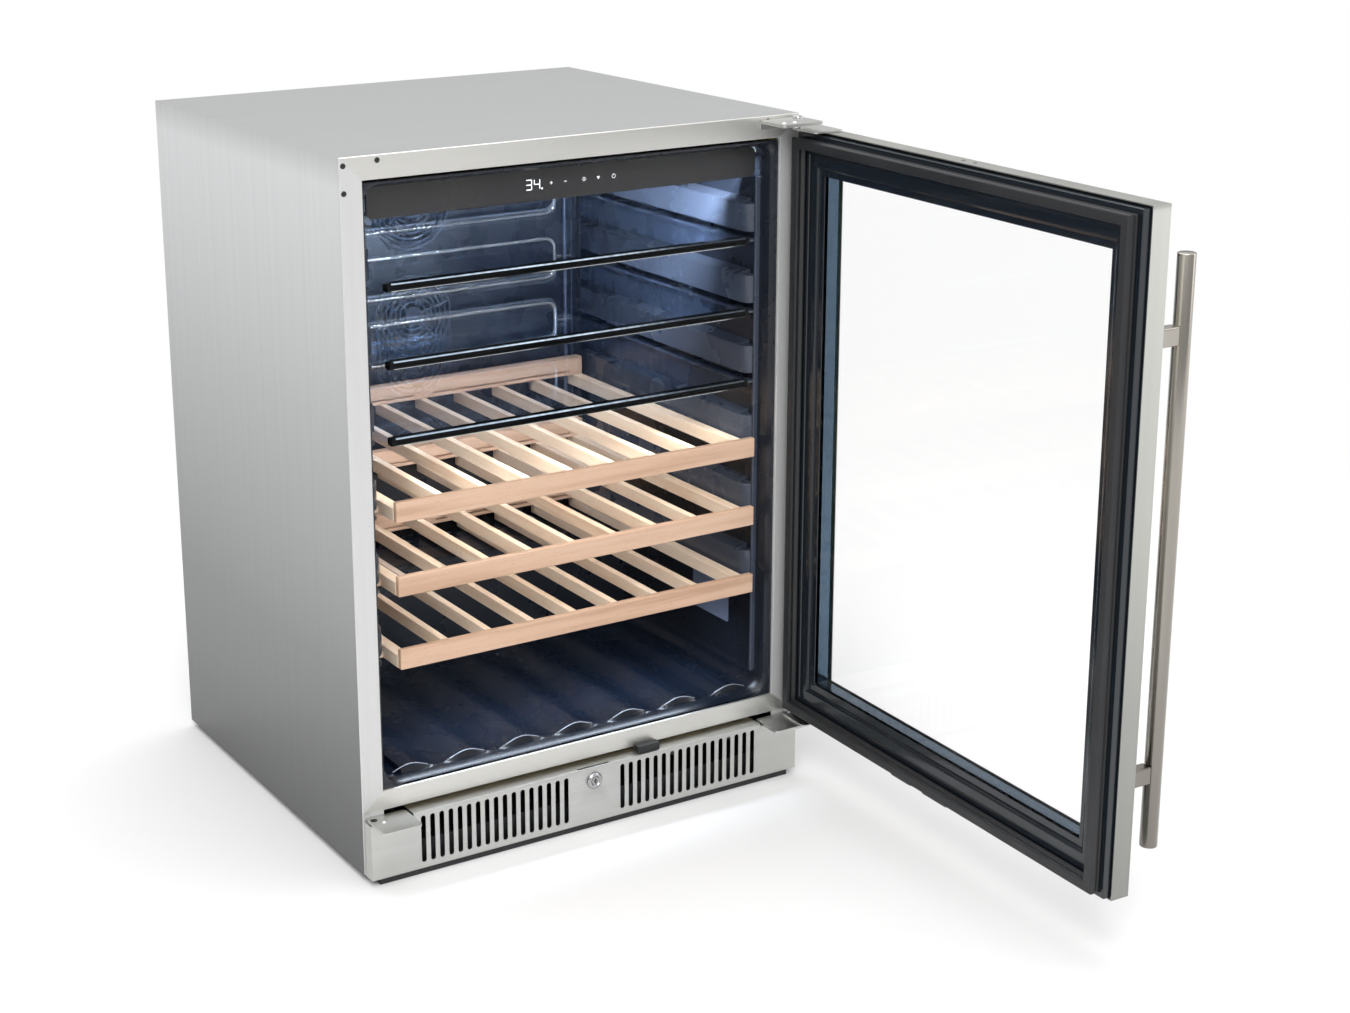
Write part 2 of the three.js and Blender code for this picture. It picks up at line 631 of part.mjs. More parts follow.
function makeRack(level) {
  const name = `wood_rack_${level - 2}`;
  const low = levelTop(level) - GUIDE_HEIGHT + GUIDE_LIP + 0.5;
  const half = 242;
  const under = low - 0.5;
  const barBack = 10.5;
  piece(`${name}_front_bar`, block(-half, half, 2.5, barBack, under, low + 23.5), BEECH);

  const front = barBack + GAP;
  const rear = 426;
  const restFront = 410; // the tall bar across the rear stands on the slats
  const railInner = 228;
  const railTop = low + 15;
  const slatTop = low + 15;
  const groove = block(14, 222, restFront - 1, restFront + 2, low + 20, low + 21.5);
  let frame = cut(
    block(-half, half, restFront, rear, slatTop - GAP, low + 38.5),
    groove,
    groove.mirror([1, 0, 0]),
  );
  for (const sign of [-1, 1]) {
    const rail = block(railInner, half, front, rear, under, railTop);
    const tongue = block(half - 1, CAVITY_HALF - 7.5, GUIDE_FRONT + 3, rear, low, low + 8);
    const side = join(rail, tongue);
    frame = join(frame, sign > 0 ? side : side.mirror([1, 0, 0]));
  }
  const slats = 7;
  const slatPitch = 57.5;
  const slatHalf = 4.5;
  for (let i = 0; i < slats; i += 1) {
    const x = (i - (slats - 1) / 2) * slatPitch;
    frame = join(frame, block(x - slatHalf, x + slatHalf, front, rear, under, slatTop));
  }
  piece(`${name}_frame`, frame, BEECH);
}

makeShell();
makeFaceFrame();
makeLiner();
makeCooling();
makeControls();
makeKickPlate();
makeLock();
makeHinges();
makeDoor();
makeHandle();
for (let level = 0; level < LEVELS; level += 1) {
  if (level < LEVELS / 2) makeGlassShelf(level);
  else makeRack(level);
}

export default cooler;
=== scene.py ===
# Under-counter wine cooler, door open, on a white studio floor.
# Metres throughout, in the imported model's frame: +X right, -Y out of the front, +Z up.
import json
from math import cos, pi, radians, sin

import bmesh
import bpy
from mathutils import Euler, Matrix, Vector


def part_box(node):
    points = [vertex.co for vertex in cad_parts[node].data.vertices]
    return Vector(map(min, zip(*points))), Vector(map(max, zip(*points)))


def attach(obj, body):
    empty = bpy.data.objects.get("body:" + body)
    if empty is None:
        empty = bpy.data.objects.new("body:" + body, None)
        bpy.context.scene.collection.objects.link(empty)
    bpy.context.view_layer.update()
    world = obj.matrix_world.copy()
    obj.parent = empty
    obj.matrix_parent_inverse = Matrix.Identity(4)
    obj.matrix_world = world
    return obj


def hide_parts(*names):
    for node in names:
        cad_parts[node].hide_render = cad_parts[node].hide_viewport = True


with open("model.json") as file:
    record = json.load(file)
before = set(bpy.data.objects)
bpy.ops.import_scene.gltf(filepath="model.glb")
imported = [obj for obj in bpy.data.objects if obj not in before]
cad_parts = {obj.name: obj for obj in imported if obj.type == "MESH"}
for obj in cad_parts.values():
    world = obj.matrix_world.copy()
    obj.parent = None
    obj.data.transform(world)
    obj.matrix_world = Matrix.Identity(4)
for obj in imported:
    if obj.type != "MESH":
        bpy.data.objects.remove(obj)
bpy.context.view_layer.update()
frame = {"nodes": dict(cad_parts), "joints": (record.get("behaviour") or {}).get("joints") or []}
nodes = frame["nodes"]
MM = 0.001
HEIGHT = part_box("cabinet_wrap")[1].z

# ---- places, all taken from the frame ----

swing = next(j for j in frame["joints"] if j["name"] == "door_swing")
PIVOT = Vector((swing["pos_m"][0], swing["pos_m"][1], 0))
OPEN_ANGLE = -radians(swing["range_deg"][0])
DOOR_TURN = Matrix.Translation(PIVOT) @ Matrix.Rotation(OPEN_ANGLE, 4, "Z") @ Matrix.Translation(-PIVOT)


def closed_box(name):
    """A door node's box with the door closed."""
    back = DOOR_TURN.inverted()
    points = [back @ v.co for v in nodes[name].data.vertices]
    lo = Vector([min(p[i] for p in points) for i in range(3)])
    hi = Vector([max(p[i] for p in points) for i in range(3)])
    return lo, hi


def new_object(name, data):
    thing = bpy.data.objects.new(name, data)
    bpy.context.scene.collection.objects.link(thing)
    return thing


def add_node(tree, kind):
    return tree.nodes.new("ShaderNode" + kind)


# ---- camera ----

CAMERA_PLACE = (-1.2955, -2.168, 1.219)
CAMERA_YAW = 30.76  # degrees, to the right of +Y
CAMERA_PITCH = 15.9  # degrees, downwards
CAMERA_ROLL = -0.49
LENS = 60.84

camera_data = bpy.data.cameras.new("camera")
camera_data.lens = LENS
camera_data.sensor_width = 36
camera_data.shift_x = 0.07
camera_data.shift_y = -0.06
camera = new_object("camera", camera_data)
look = Euler((radians(90 - CAMERA_PITCH), 0, -radians(CAMERA_YAW))).to_matrix().to_4x4()
roll = Matrix.Rotation(radians(CAMERA_ROLL), 4, "Z")
camera.matrix_world = Matrix.Translation(CAMERA_PLACE) @ look @ roll
bpy.context.scene.camera = camera


# ---- stage ----

def make_world():
    """Seen directly it is plain white; as light it is dim below the horizon and bright overhead."""
    dim_until, bright_from = 0.42, 0.75
    dim, white = (0.12, 0.12, 0.115, 1), (1, 1, 1, 1)
    strength = 0.85
    world = bpy.data.worlds.new("studio")
    bpy.context.scene.world = world
    world.use_nodes = True
    tree = world.node_tree
    tree.nodes.clear()
    out = add_node(tree, "OutputWorld")
    mix = add_node(tree, "MixShader")
    seen = add_node(tree, "Background")
    light = add_node(tree, "Background")
    path = add_node(tree, "LightPath")
    coords = add_node(tree, "TexCoord")
    split = add_node(tree, "SeparateXYZ")
    sky = add_node(tree, "ValToRGB")
    seen.inputs["Color"].default_value = white
    light.inputs["Strength"].default_value = strength
    shift = add_node(tree, "Math")
    shift.operation = "MULTIPLY_ADD"
    shift.inputs[1].default_value = 0.5
    shift.inputs[2].default_value = 0.5
    tree.links.new(coords.outputs["Generated"], split.inputs[0])
    tree.links.new(split.outputs["Z"], shift.inputs[0])
    tree.links.new(shift.outputs[0], sky.inputs[0])
    for stop, place, colour in zip(sky.color_ramp.elements, (dim_until, bright_from), (dim, white)):
        stop.position = place
        stop.color = colour
    tree.links.new(sky.outputs[0], light.inputs["Color"])
    tree.links.new(path.outputs["Is Camera Ray"], mix.inputs[0])
    tree.links.new(light.outputs[0], mix.inputs[1])
    tree.links.new(seen.outputs[0], mix.inputs[2])
    tree.links.new(mix.outputs[0], out.inputs[0])


def area_light(name, place, target, size, power, colour=(1, 1, 1), spread=None):
    """A rectangular lamp at a place, turned to its target; spread is its cone in degrees."""
    data = bpy.data.lights.new(name, "AREA")
    data.shape = "RECTANGLE"
    data.size, data.size_y = size
    data.energy = power
    data.color = colour
    if spread:
        data.spread = radians(spread)
    lamp = new_object(name, data)
    lamp.location = place
    lamp.rotation_mode = "QUATERNION"
    lamp.rotation_quaternion = (Vector(target) - Vector(place)).to_track_quat("-Z", "Y")


def make_floor_white():
    """Matt white that fades to a plain glow away from the object, so the floor has no far edge."""
    near = 0.8
    fade_start, fade_end = 0.7, 2.2
    mat, bsdf = principled("floor_white", grey(near), 0.6)
    tree = mat.node_tree
    coords = add_node(tree, "TexCoord")
    length = add_node(tree, "VectorMath")
    length.operation = "LENGTH"
    fade = add_node(tree, "MapRange")
    fade.inputs["From Min"].default_value = fade_start
    fade.inputs["From Max"].default_value = fade_end
    fade.interpolation_type = "SMOOTHSTEP"
    tree.links.new(coords.outputs["Object"], length.inputs[0])
    tree.links.new(length.outputs["Value"], fade.inputs["Value"])
    feed(mat, grey_band(mat, fade.outputs[0], 0.0, 1.0, near, 0.0), bsdf, "Base Color")
    bsdf.inputs["Emission Color"].default_value = (1, 1, 1, 1)
    feed(mat, fade.outputs[0], bsdf, "Emission Strength")
    bsdf.inputs["Specular IOR Level"].default_value = 0.0
    return mat


def make_stage():
    make_world()
    bpy.context.scene.view_settings.view_transform = "Standard"
    mesh = bpy.data.meshes.new("floor")
    half = 12
    corners = [(-half, -half, 0), (half, -half, 0), (half, half, 0), (-half, half, 0)]
    mesh.from_pydata(corners, [], [(0, 1, 2, 3)])
    floor = new_object("floor", mesh)
    mesh.materials.append(make_floor_white())
    area_light("key", (-1.8, -2.6, 3.0), (0, 0.1, 0.4), (2.0, 2.0), 92)
    area_light("top", (0.3, 0.4, 3.4), (0.1, -0.1, 0), (3, 3), 60)
    area_light("right", (2.6, -1.6, 1.6), (0.2, -0.2, 0.4), (1.6, 2.2), 14)


# ---- materials ----

def principled(name, colour, roughness, metallic=0.0, **sockets):
    """A plain surface; further sockets are given by name, with _ for each space."""
    mat = bpy.data.materials.new(name)
    mat.use_nodes = True
    bsdf = mat.node_tree.nodes["Principled BSDF"]
    bsdf.inputs["Base Color"].default_value = (*colour, 1)
    bsdf.inputs["Roughness"].default_value = roughness
    bsdf.inputs["Metallic"].default_value = metallic
    for key, value in sockets.items():
        bsdf.inputs[key.replace("_", " ")].default_value = value
    return mat, bsdf


def noise(mat, scale, detail=4.0, stretch=(1, 1, 1), rough=0.55):
    """Noise over the piece's own space, stretched along an axis where its factor is small."""
    tree = mat.node_tree
    coords = add_node(tree, "TexCoord")
    mapping = add_node(tree, "Mapping")
    mapping.inputs["Scale"].default_value = stretch
    tex = add_node(tree, "TexNoise")
    tex.inputs["Scale"].default_value = scale
    tex.inputs["Detail"].default_value = detail
    tex.inputs["Roughness"].default_value = rough
    tree.links.new(coords.outputs["Object"], mapping.inputs[0])
    tree.links.new(mapping.outputs[0], tex.inputs["Vector"])
    return tex.outputs["Fac"]


def ramp(mat, source, stops):
    """A colour ramp with stops of (place, colour)."""
    node = add_node(mat.node_tree, "ValToRGB")
    elements = node.color_ramp.elements
    while len(elements) < len(stops):
        elements.new(0.5)
    for element, (place, colour) in zip(elements, stops):
        element.position = place
        element.color = (*colour, 1) if len(colour) == 3 else colour
    mat.node_tree.links.new(source, node.inputs[0])
    return node.outputs[0]


def mix_colour(mat, first, second, factor, blend="MIX"):
    """Two colours mixed; each may be a plain colour or another node's output."""
    node = add_node(mat.node_tree, "Mix")
    node.data_type = "RGBA"
    node.blend_type = blend
    links = mat.node_tree.links
    for index, value in ((6, first), (7, second)):
        if hasattr(value, "links"):
            links.new(value, node.inputs[index])
        else:
            node.inputs[index].default_value = (*value, 1)
    if hasattr(factor, "links"):
        links.new(factor, node.inputs[0])
    else:
        node.inputs[0].default_value = factor
    return node.outputs[2]


def grey(value):
    return (value, value, value)


def grey_band(mat, source, start, end, first, last):
    """A grey ramp that goes from one value to another between two places."""
    return ramp(mat, source, [(start, grey(first)), (end, grey(last))])


def multiply(mat, first, second):
    return mix_colour(mat, first, second, 1.0, "MULTIPLY")


def feed(mat, source, bsdf, socket):
    mat.node_tree.links.new(source, bsdf.inputs[socket])


def axis_share(mat, axis, start, end):
    """How far a point lies from start to end along an axis, from 0 to 1."""
    tree = mat.node_tree
    coords = add_node(tree, "TexCoord")
    split = add_node(tree, "SeparateXYZ")
    share = add_node(tree, "MapRange")
    share.inputs["From Min"].default_value = start
    share.inputs["From Max"].default_value = end
    tree.links.new(coords.outputs["Object"], split.inputs[0])
    tree.links.new(split.outputs[axis], share.inputs["Value"])
    return share.outputs[0]


def bump(mat, bsdf, source, distance, strength=1.0):
    node = add_node(mat.node_tree, "Bump")
    node.inputs["Distance"].default_value = distance
    node.inputs["Strength"].default_value = strength
    mat.node_tree.links.new(source, node.inputs["Height"])
    mat.node_tree.links.new(node.outputs[0], bsdf.inputs["Normal"])


def painted_height_shade(mat, stops):
    """Painted shade: a factor that follows height, from the floor to the cabinet's top, with its blue a
    little lower.
    """
    height = axis_share(mat, "Z", 0, HEIGHT)
    return ramp(mat, height, [(place, (value, value, value * PAINTED_SHADE_WARMTH)) for place, value in stops])


def brushed_metal(name, colour, roughness, stretch, contrast=0.1, painted_shade=None, metallic=1.0):
    """Metal with fine brushing lines; the lines run along the axes with a small stretch factor. Given
    stops by height, it also takes painted shade by height.
    """
    mat, bsdf = principled(name, colour, roughness, metallic)
    lines = noise(mat, 1.0, 8.0, stretch, 0.75)
    wide = noise(mat, 1.0, 3.0, [s * 0.06 for s in stretch], 0.6)
    line_tone = grey_band(mat, lines, 0.3, 0.7, 1 - contrast, 1.0)
    wide_tone = grey_band(mat, wide, 0.3, 0.7, 1 - contrast * 0.7, 1.0)
    tint = multiply(mat, colour, multiply(mat, line_tone, wide_tone))
    # painted shade by height, when stops are given
    if painted_shade:
        tint = multiply(mat, tint, painted_height_shade(mat, painted_shade))
    feed(mat, tint, bsdf, "Base Color")
    rough = grey_band(mat, lines, 0.25, 0.75, roughness * 0.85, roughness * 1.2)
    feed(mat, rough, bsdf, "Roughness")
    bump(mat, bsdf, lines, 0.04 * MM, 0.5)
    return mat


def moulded(name, colour, roughness, grain=900, depth=0.02 * MM, **sockets):
    """Moulded plastic: a faint grain in its gloss and surface."""
    mat, bsdf = principled(name, colour, roughness, 0.0, **sockets)
    fine = noise(mat, grain, 3.0)
    soft = noise(mat, 14, 3.0)
    rough = grey_band(mat, soft, 0.3, 0.7, roughness * 0.8, min(1, roughness * 1.25))
    feed(mat, rough, bsdf, "Roughness")
    bump(mat, bsdf, fine, depth, 0.6)
    return mat


def beech(name, along, tones):
    """Beech with its grain along one axis: pale wood, soft darker bands and short brown flecks."""
    brown = (0.42, 0.23, 0.12)
    mat, bsdf = principled(name, tones[1], 0.5)
    axis = "xyz".index(along)
    band_scale, fleck_scale = [60, 60, 60], [1500, 1500, 1500]
    band_scale[axis], fleck_scale[axis] = 3, 120
    bands = noise(mat, 1.0, 5.0, band_scale, 0.6)
    wood = ramp(mat, bands, list(zip((0.3, 0.5, 0.72), tones)))
    flecks = noise(mat, 1.0, 2.0, fleck_scale, 0.5)
    mask = grey_band(mat, flecks, 0.63, 0.72, 0.0, 0.55)
    feed(mat, mix_colour(mat, wood, brown, mask), bsdf, "Base Color")
    feed(mat, grey_band(mat, bands, 0.3, 0.7, 0.58, 0.44), bsdf, "Roughness")
    bump(mat, bsdf, bands, 0.1 * MM, 0.35)
    return mat


def clear_glass(name, tint, base_alpha):
    """Thin clear glass: it mirrors at a slant and lets the rest through."""
    steepness = 6.0
    mat, bsdf = principled(name, tint, 0.02, 1.0)
    tree = mat.node_tree
    weight = add_node(tree, "LayerWeight")
    power = add_node(tree, "Math")
    power.operation = "POWER"
    power.inputs[1].default_value = steepness
    share = add_node(tree, "Math")
    share.operation = "MULTIPLY_ADD"
    share.inputs[1].default_value = 1 - base_alpha
    share.inputs[2].default_value = base_alpha
    tree.links.new(weight.outputs["Facing"], power.inputs[0])
    tree.links.new(power.outputs[0], share.inputs[0])
    feed(mat, share.outputs[0], bsdf, "Alpha")
    return mat


def painted_led_reflection():
    """Painted reflection on a shelf's front edge: the lamp dots above are painted there as a glowing
    beaded line that fades to the right.
    """
    fade_start, fade_end = 0.02, 0.15
    reflection_tint, body_tint = (0.75, 0.87, 1.0), (0.4, 0.5, 0.62)
    mat, bsdf = principled("painted_led_reflection", (0.55, 0.66, 0.8), 0.2, 0.5)
    beads = noise(mat, 1.0, 2.0, (160, 1, 1), 0.4)
    patches = noise(mat, 1.0, 1.0, (5, 1, 1), 0.4)
    bead_tone = grey_band(mat, beads, 0.35, 0.6, 0.3, 1.0)
    patch_tone = grey_band(mat, patches, 0.35, 0.6, 0.25, 1.0)
    reflection_glow = multiply(mat, reflection_tint, multiply(mat, bead_tone, patch_tone))
    fade = grey_band(mat, axis_share(mat, "X", fade_start, fade_end), 0.0, 1.0, 1.0, 0.12)
    feed(mat, multiply(mat, body_tint, fade), bsdf, "Base Color")
    feed(mat, multiply(mat, reflection_glow, fade), bsdf, "Emission Color")
    bsdf.inputs["Emission Strength"].default_value = 0.6
    return mat


def glowing(name, colour, strength):
    mat, bsdf = principled(name, colour, 0.4)
    bsdf.inputs["Emission Color"].default_value = (*colour, 1)
    bsdf.inputs["Emission Strength"].default_value = strength
    return mat


make_stage()
# Lowers the blue of the painted shade by height a little.
PAINTED_SHADE_WARMTH = 0.97
# Painted shade on the side steel: (share of the cabinet's height, tone), darker towards the bottom and
# along the very top.
SIDE_PAINTED_SHADE = [(0.0, 0.19), (0.1, 0.23), (0.29, 0.33), (0.46, 0.49), (0.64, 0.65), (0.82, 0.84),
             (0.96, 1.0), (1.0, 0.8)]
# Painted shade on the door's steel and its handle: darker towards the bottom and in a band along the top.
DOOR_PAINTED_SHADE = [(0.08, 0.38), (0.35, 0.52), (0.6, 0.77), (0.972, 1.0), (0.977, 0.66)]
SIDE_STEEL = brushed_metal("side_steel", (0.79, 0.8, 0.83), 0.36, (3, 1400, 3), 0.07, SIDE_PAINTED_SHADE)
RAIL_STEEL = brushed_metal("rail_steel", (0.76, 0.755, 0.72), 0.36, (5, 5, 900), 0.08, metallic=0.85)
POST_STEEL = brushed_metal("upright_steel", (0.66, 0.665, 0.66), 0.36, (900, 900, 5), 0.08, metallic=0.4)
DOOR_RAIL = brushed_metal("door_rail_steel", (0.8, 0.8, 0.78), 0.34, (5, 5, 900), 0.08, DOOR_PAINTED_SHADE)
DOOR_POST = brushed_metal("door_upright_steel", (0.8, 0.8, 0.78), 0.34, (900, 900, 5), 0.08, DOOR_PAINTED_SHADE)
KICK_STEEL = brushed_metal("kick_steel", (0.62, 0.62, 0.6), 0.36, (5, 900, 900))
LOCK_METAL = brushed_metal("lock_metal", (0.5, 0.5, 0.51), 0.22, (300, 300, 300), 0.1)
HANDLE_STEEL = brushed_metal("handle_steel", (0.6, 0.56, 0.52), 0.2, (700, 700, 8), 0.1, DOOR_PAINTED_SHADE)
CHROME = principled("chrome", (0.82, 0.83, 0.85), 0.09, 1.0)[0]
ZINC = brushed_metal("zinc_sheet", (0.5, 0.51, 0.52), 0.5, (60, 60, 60), 0.25)
DARK_PAINT = moulded("dark_paint", (0.012, 0.012, 0.013), 0.4)
ALUMINIUM = brushed_metal("aluminium", (0.6, 0.61, 0.63), 0.4, (300, 300, 8))
WIRE = brushed_metal("bright_wire", (0.92, 0.93, 0.95), 0.14, (40, 40, 40), 0.05, metallic=0.75)
LINER = moulded("liner_plastic", (0.011, 0.014, 0.021), 0.27, 500, 0.01 * MM)
# Painted sheen: the liner's black plastic made lighter and bluer, as if lit, for the guide pads, corner
# ribs and fan grilles.
GUIDE_SHEEN = moulded("guide_plastic_painted_sheen", (0.05, 0.062, 0.09), 0.27, 500, 0.01 * MM)
PANEL = moulded("panel_plastic", (0.026, 0.026, 0.028), 0.3)
BLACK = moulded("black_plastic", (0.012, 0.013, 0.014), 0.42)
DOOR_BLACK = moulded("door_black", (0.009, 0.013, 0.018), 0.15, 900, 0.005 * MM, Specular_IOR_Level=0.65)
# Painted reflection: the glass spacer tinted blue-grey for the lit interior it mirrors.
SPACER_REFLECTION = brushed_metal("spacer_painted_reflection", (0.1, 0.15, 0.21), 0.16, (60, 60, 60), 0.2)
CRADLE = moulded("cradle_plastic", (0.004, 0.007, 0.014), 0.27, 500, 0.01 * MM, Specular_IOR_Level=0.7)
# Painted highlight: a pale bluish metal on the cradle's ridge edges, standing for the light they catch.
LIP_HIGHLIGHT = brushed_metal("cradle_lip", (0.5, 0.55, 0.65), 0.3, (60, 60, 60), 0.15, metallic=0.6)
BLACK_GLOSS = moulded("black_gloss", (0.004, 0.0045, 0.005), 0.1, 4, 0.01 * MM, Specular_IOR_Level=0.12)
RUBBER = moulded("gasket_rubber", (0.014, 0.015, 0.017), 0.5, 1500)
FOAM = moulded("foam", (0.75, 0.62, 0.33), 0.9, 300, 0.2 * MM)
BAR_TONES = ((0.47, 0.29, 0.19), (0.61, 0.405, 0.285), (0.69, 0.49, 0.36))
SLAT_TONES = ((0.74, 0.54, 0.38), (0.86, 0.69, 0.53), (0.92, 0.79, 0.65))
BEECH_ALONG_X = beech("beech_bar", "x", BAR_TONES)
BEECH_ALONG_Y = beech("beech_slat", "y", SLAT_TONES)
PANE = clear_glass("pane", (0.86, 0.93, 0.95), 0.008)
SHELF_GLASS = clear_glass("shelf_glass", (0.55, 0.72, 0.95), 0.1)
GLASS_EDGE = moulded("glass_edge", (0.1, 0.3, 0.3), 0.15)
# Painted reflection of the lamp dots along the shelves' front edges, glowing.
LED_REFLECTION_PAINT = painted_led_reflection()
LED = glowing("led_dot", (0.8, 0.9, 1.0), 60)
DIGIT = glowing("display_digit", (0.95, 0.97, 1.0), 1.25)
ICON = glowing("display_icon", (0.95, 0.97, 1.0), 0.5)
# Painted highlight: the glow along the control strip's top edge.
PANEL_HIGHLIGHT_GLOW = glowing("panel_painted_highlight", (0.55, 0.62, 0.68), 0.35)


# ---- mesh building ----

def finish_mesh(name, bm, materials, body, stands_for=(), sharp=35):
    """Makes a piece that rides a body and may stand for nodes; door pieces are built closed."""
    bmesh.ops.remove_doubles(bm, verts=bm.verts, dist=1e-7)
    bmesh.ops.recalc_face_normals(bm, faces=bm.faces)
    mesh = bpy.data.meshes.new(name)
    bm.to_mesh(mesh)
    bm.free()
    if body == "door":
        mesh.transform(DOOR_TURN)
    mesh.shade_smooth()
    mesh.set_sharp_from_angle(angle=radians(sharp))
    for mat in materials:
        mesh.materials.append(mat)
    piece = new_object(name, mesh)
    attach(piece, body)
    if stands_for:
        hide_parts(*stands_for)
    return piece


def bevel(piece, width, segments=2):
    mod = piece.modifiers.new("bevel", "BEVEL")
    mod.width = width
    mod.segments = segments
    mod.limit_method = "ANGLE"
    mod.angle_limit = radians(40)
    mod.harden_normals = True


def add_box(bm, lo, hi, index=0):
    ends = list(zip(lo, hi))
    corners = [bm.verts.new((x, y, z)) for x in ends[0] for y in ends[1] for z in ends[2]]
    quads = [(0, 1, 3, 2), (4, 6, 7, 5), (0, 4, 5, 1), (2, 3, 7, 6), (0, 2, 6, 4), (1, 5, 7, 3)]
    for quad in quads:
        face = bm.faces.new([corners[i] for i in quad])
        face.material_index = index


def add_sweep(bm, profile, half, bottom, top, uprights=1, rise=1.0):
    """A mitred frame; profile is a closed loop of (inset from the outer edge, y).

    The uprights take the material index given; the lower rail's width is scaled by rise.
    """
    rings = []
    for inset, y in profile:
        x, z0, z1 = half - inset, bottom + inset * rise, top - inset
        rings.append([bm.verts.new(p) for p in ((-x, y, z0), (x, y, z0), (x, y, z1), (-x, y, z1))])
    count = len(rings)
    for i in range(count):
        a, b = rings[i], rings[(i + 1) % count]
        for side in range(4):
            face = bm.faces.new((a[side], a[(side + 1) % 4], b[(side + 1) % 4], b[side]))
            face.material_index = uprights if side in (1, 3) else 0


def add_prism(bm, outline, place, index=0):
    """A closed prism. outline is a list of pairs and place(u, v, end) gives a point at end 0 or 1."""
    near = [bm.verts.new(place(u, v, 0)) for u, v in outline]
    far = [bm.verts.new(place(u, v, 1)) for u, v in outline]
    count = len(outline)
    for i in range(count):
        j = (i + 1) % count
        bm.faces.new((near[i], near[j], far[j], far[i])).material_index = index
    bm.faces.new(near).material_index = index
    bm.faces.new(list(reversed(far))).material_index = index


def along_x(x0, x1):
    return lambda u, v, end: (x1 if end else x0, u, v)


def along_y(y0, y1):
    return lambda u, v, end: (u, y1 if end else y0, v)


def along_z(z0, z1):
    return lambda u, v, end: (u, v, z1 if end else z0)


def arc_points(cu, cv, radius, start, sweep, steps):
    """Points on an arc with both its ends; angles in degrees."""
    angles = [radians(start + sweep * i / steps) for i in range(steps + 1)]
    return [(cu + radius * cos(a), cv + radius * sin(a)) for a in angles]


def circle_points(cu, cv, radius, steps):
    return arc_points(cu, cv, radius, 0, 360, steps)[:-1]


def corner_arcs(u0, u1, v0, v1, low_r, high_r, steps):
    """The four rounded corners of an outline, from its lower right one round to its lower left one."""
    corners = (
        (u1 - low_r, v0 + low_r, low_r, -90), (u1 - high_r, v1 - high_r, high_r, 0),
        (u0 + high_r, v1 - high_r, high_r, 90), (u0 + low_r, v0 + low_r, low_r, 180),
    )
    points = []
    for cu, cv, radius, start in corners:
        points += arc_points(cu, cv, radius, start, 90, steps)
    return points


def shifted(u0, v0, pairs):
    """Points given in millimetres from u0, v0."""
    return [(u0 + u * MM, v0 + v * MM) for u, v in pairs]


def round_outline(u0, u1, v0, v1, radius, steps=6):
    return corner_arcs(u0, u1, v0, v1, radius, radius, steps)


def add_lathe(bm, profile, matrix, steps):
    """A turned solid. profile is (radius, height) from axis to axis, about matrix's Z axis."""
    rings = []
    for radius, height in profile:
        if radius < 1e-9:
            rings.append([bm.verts.new(matrix @ Vector((0, 0, height)))])
            continue
        places = circle_points(0, 0, radius, steps)
        rings.append([bm.verts.new(matrix @ Vector((x, y, height))) for x, y in places])
    for a, b in zip(rings, rings[1:]):
        for i in range(steps):
            j = (i + 1) % steps
            if len(a) == 1:
                bm.faces.new((a[0], b[j], b[i]))
            elif len(b) == 1:
                bm.faces.new((a[i], a[j], b[0]))
            else:
                bm.faces.new((a[i], a[j], b[j], b[i]))


def add_tube(bm, path, radius, closed=False, sides=10, index=0):
    """A round wire along a list of points."""
    count = len(path)
    rings = []
    normal = None
    for i, point in enumerate(path):
        point = Vector(point)
        before = Vector(path[i - 1]) if i or closed else point
        after = Vector(path[(i + 1) % count]) if i < count - 1 or closed else point
        tangent = (after - before).normalized()
        if normal is None:
            normal = tangent.orthogonal().normalized()
        normal = (normal - tangent * normal.dot(tangent)).normalized()
        side = tangent.cross(normal)
        ring = []
        for k in range(sides):
            a = 2 * pi * k / sides
            ring.append(bm.verts.new(point + radius * (cos(a) * normal + sin(a) * side)))
        rings.append(ring)
    pairs = list(zip(rings, rings[1:])) + ([(rings[-1], rings[0])] if closed else [])
    for a, b in pairs:
        for k in range(sides):
            j = (k + 1) % sides
            bm.faces.new((a[k], a[j], b[j], b[k])).material_index = index
    if not closed:
        bm.faces.new(rings[0]).material_index = index
        bm.faces.new(list(reversed(rings[-1]))).material_index = index


def facing(point, direction):
    """A matrix at a point with its Z axis along a direction."""
    return Matrix.Translation(point) @ Vector(direction).to_track_quat("Z", "Y").to_matrix().to_4x4()


def add_screw(bm, point, direction, radius, height):
    """A pan-head screw with a recess in its middle."""
    profile = [
        (0, 0), (radius, 0), (radius, height * 0.35), (radius * 0.8, height * 0.85),
        (radius * 0.42, height), (radius * 0.3, height * 0.55), (0, height * 0.5),
    ]
    add_lathe(bm, profile, facing(point, direction), 20)


def paint(name, material, bevel_width=0.0, segments=2):
    """A CAD node kept as it is, with its material and a softened edge."""
    piece = nodes[name]
    piece.data.materials.clear()
    piece.data.materials.append(material)
    if bevel_width:
        bevel(piece, bevel_width, segments)


# ---- cabinet ----

def make_cabinet():
    paint("cabinet_wrap", SIDE_STEEL, 0.8 * MM, 3)
    paint("base_pan", BLACK)
    paint("base_front_rail", BLACK, 0.8 * MM)
    for foot in ("left_front", "right_front", "left_rear", "right_rear"):
        paint(f"foot_{foot}", BLACK, 0.6 * MM)
    paint("insulation_foam", FOAM)
    paint("back_panel", ZINC)


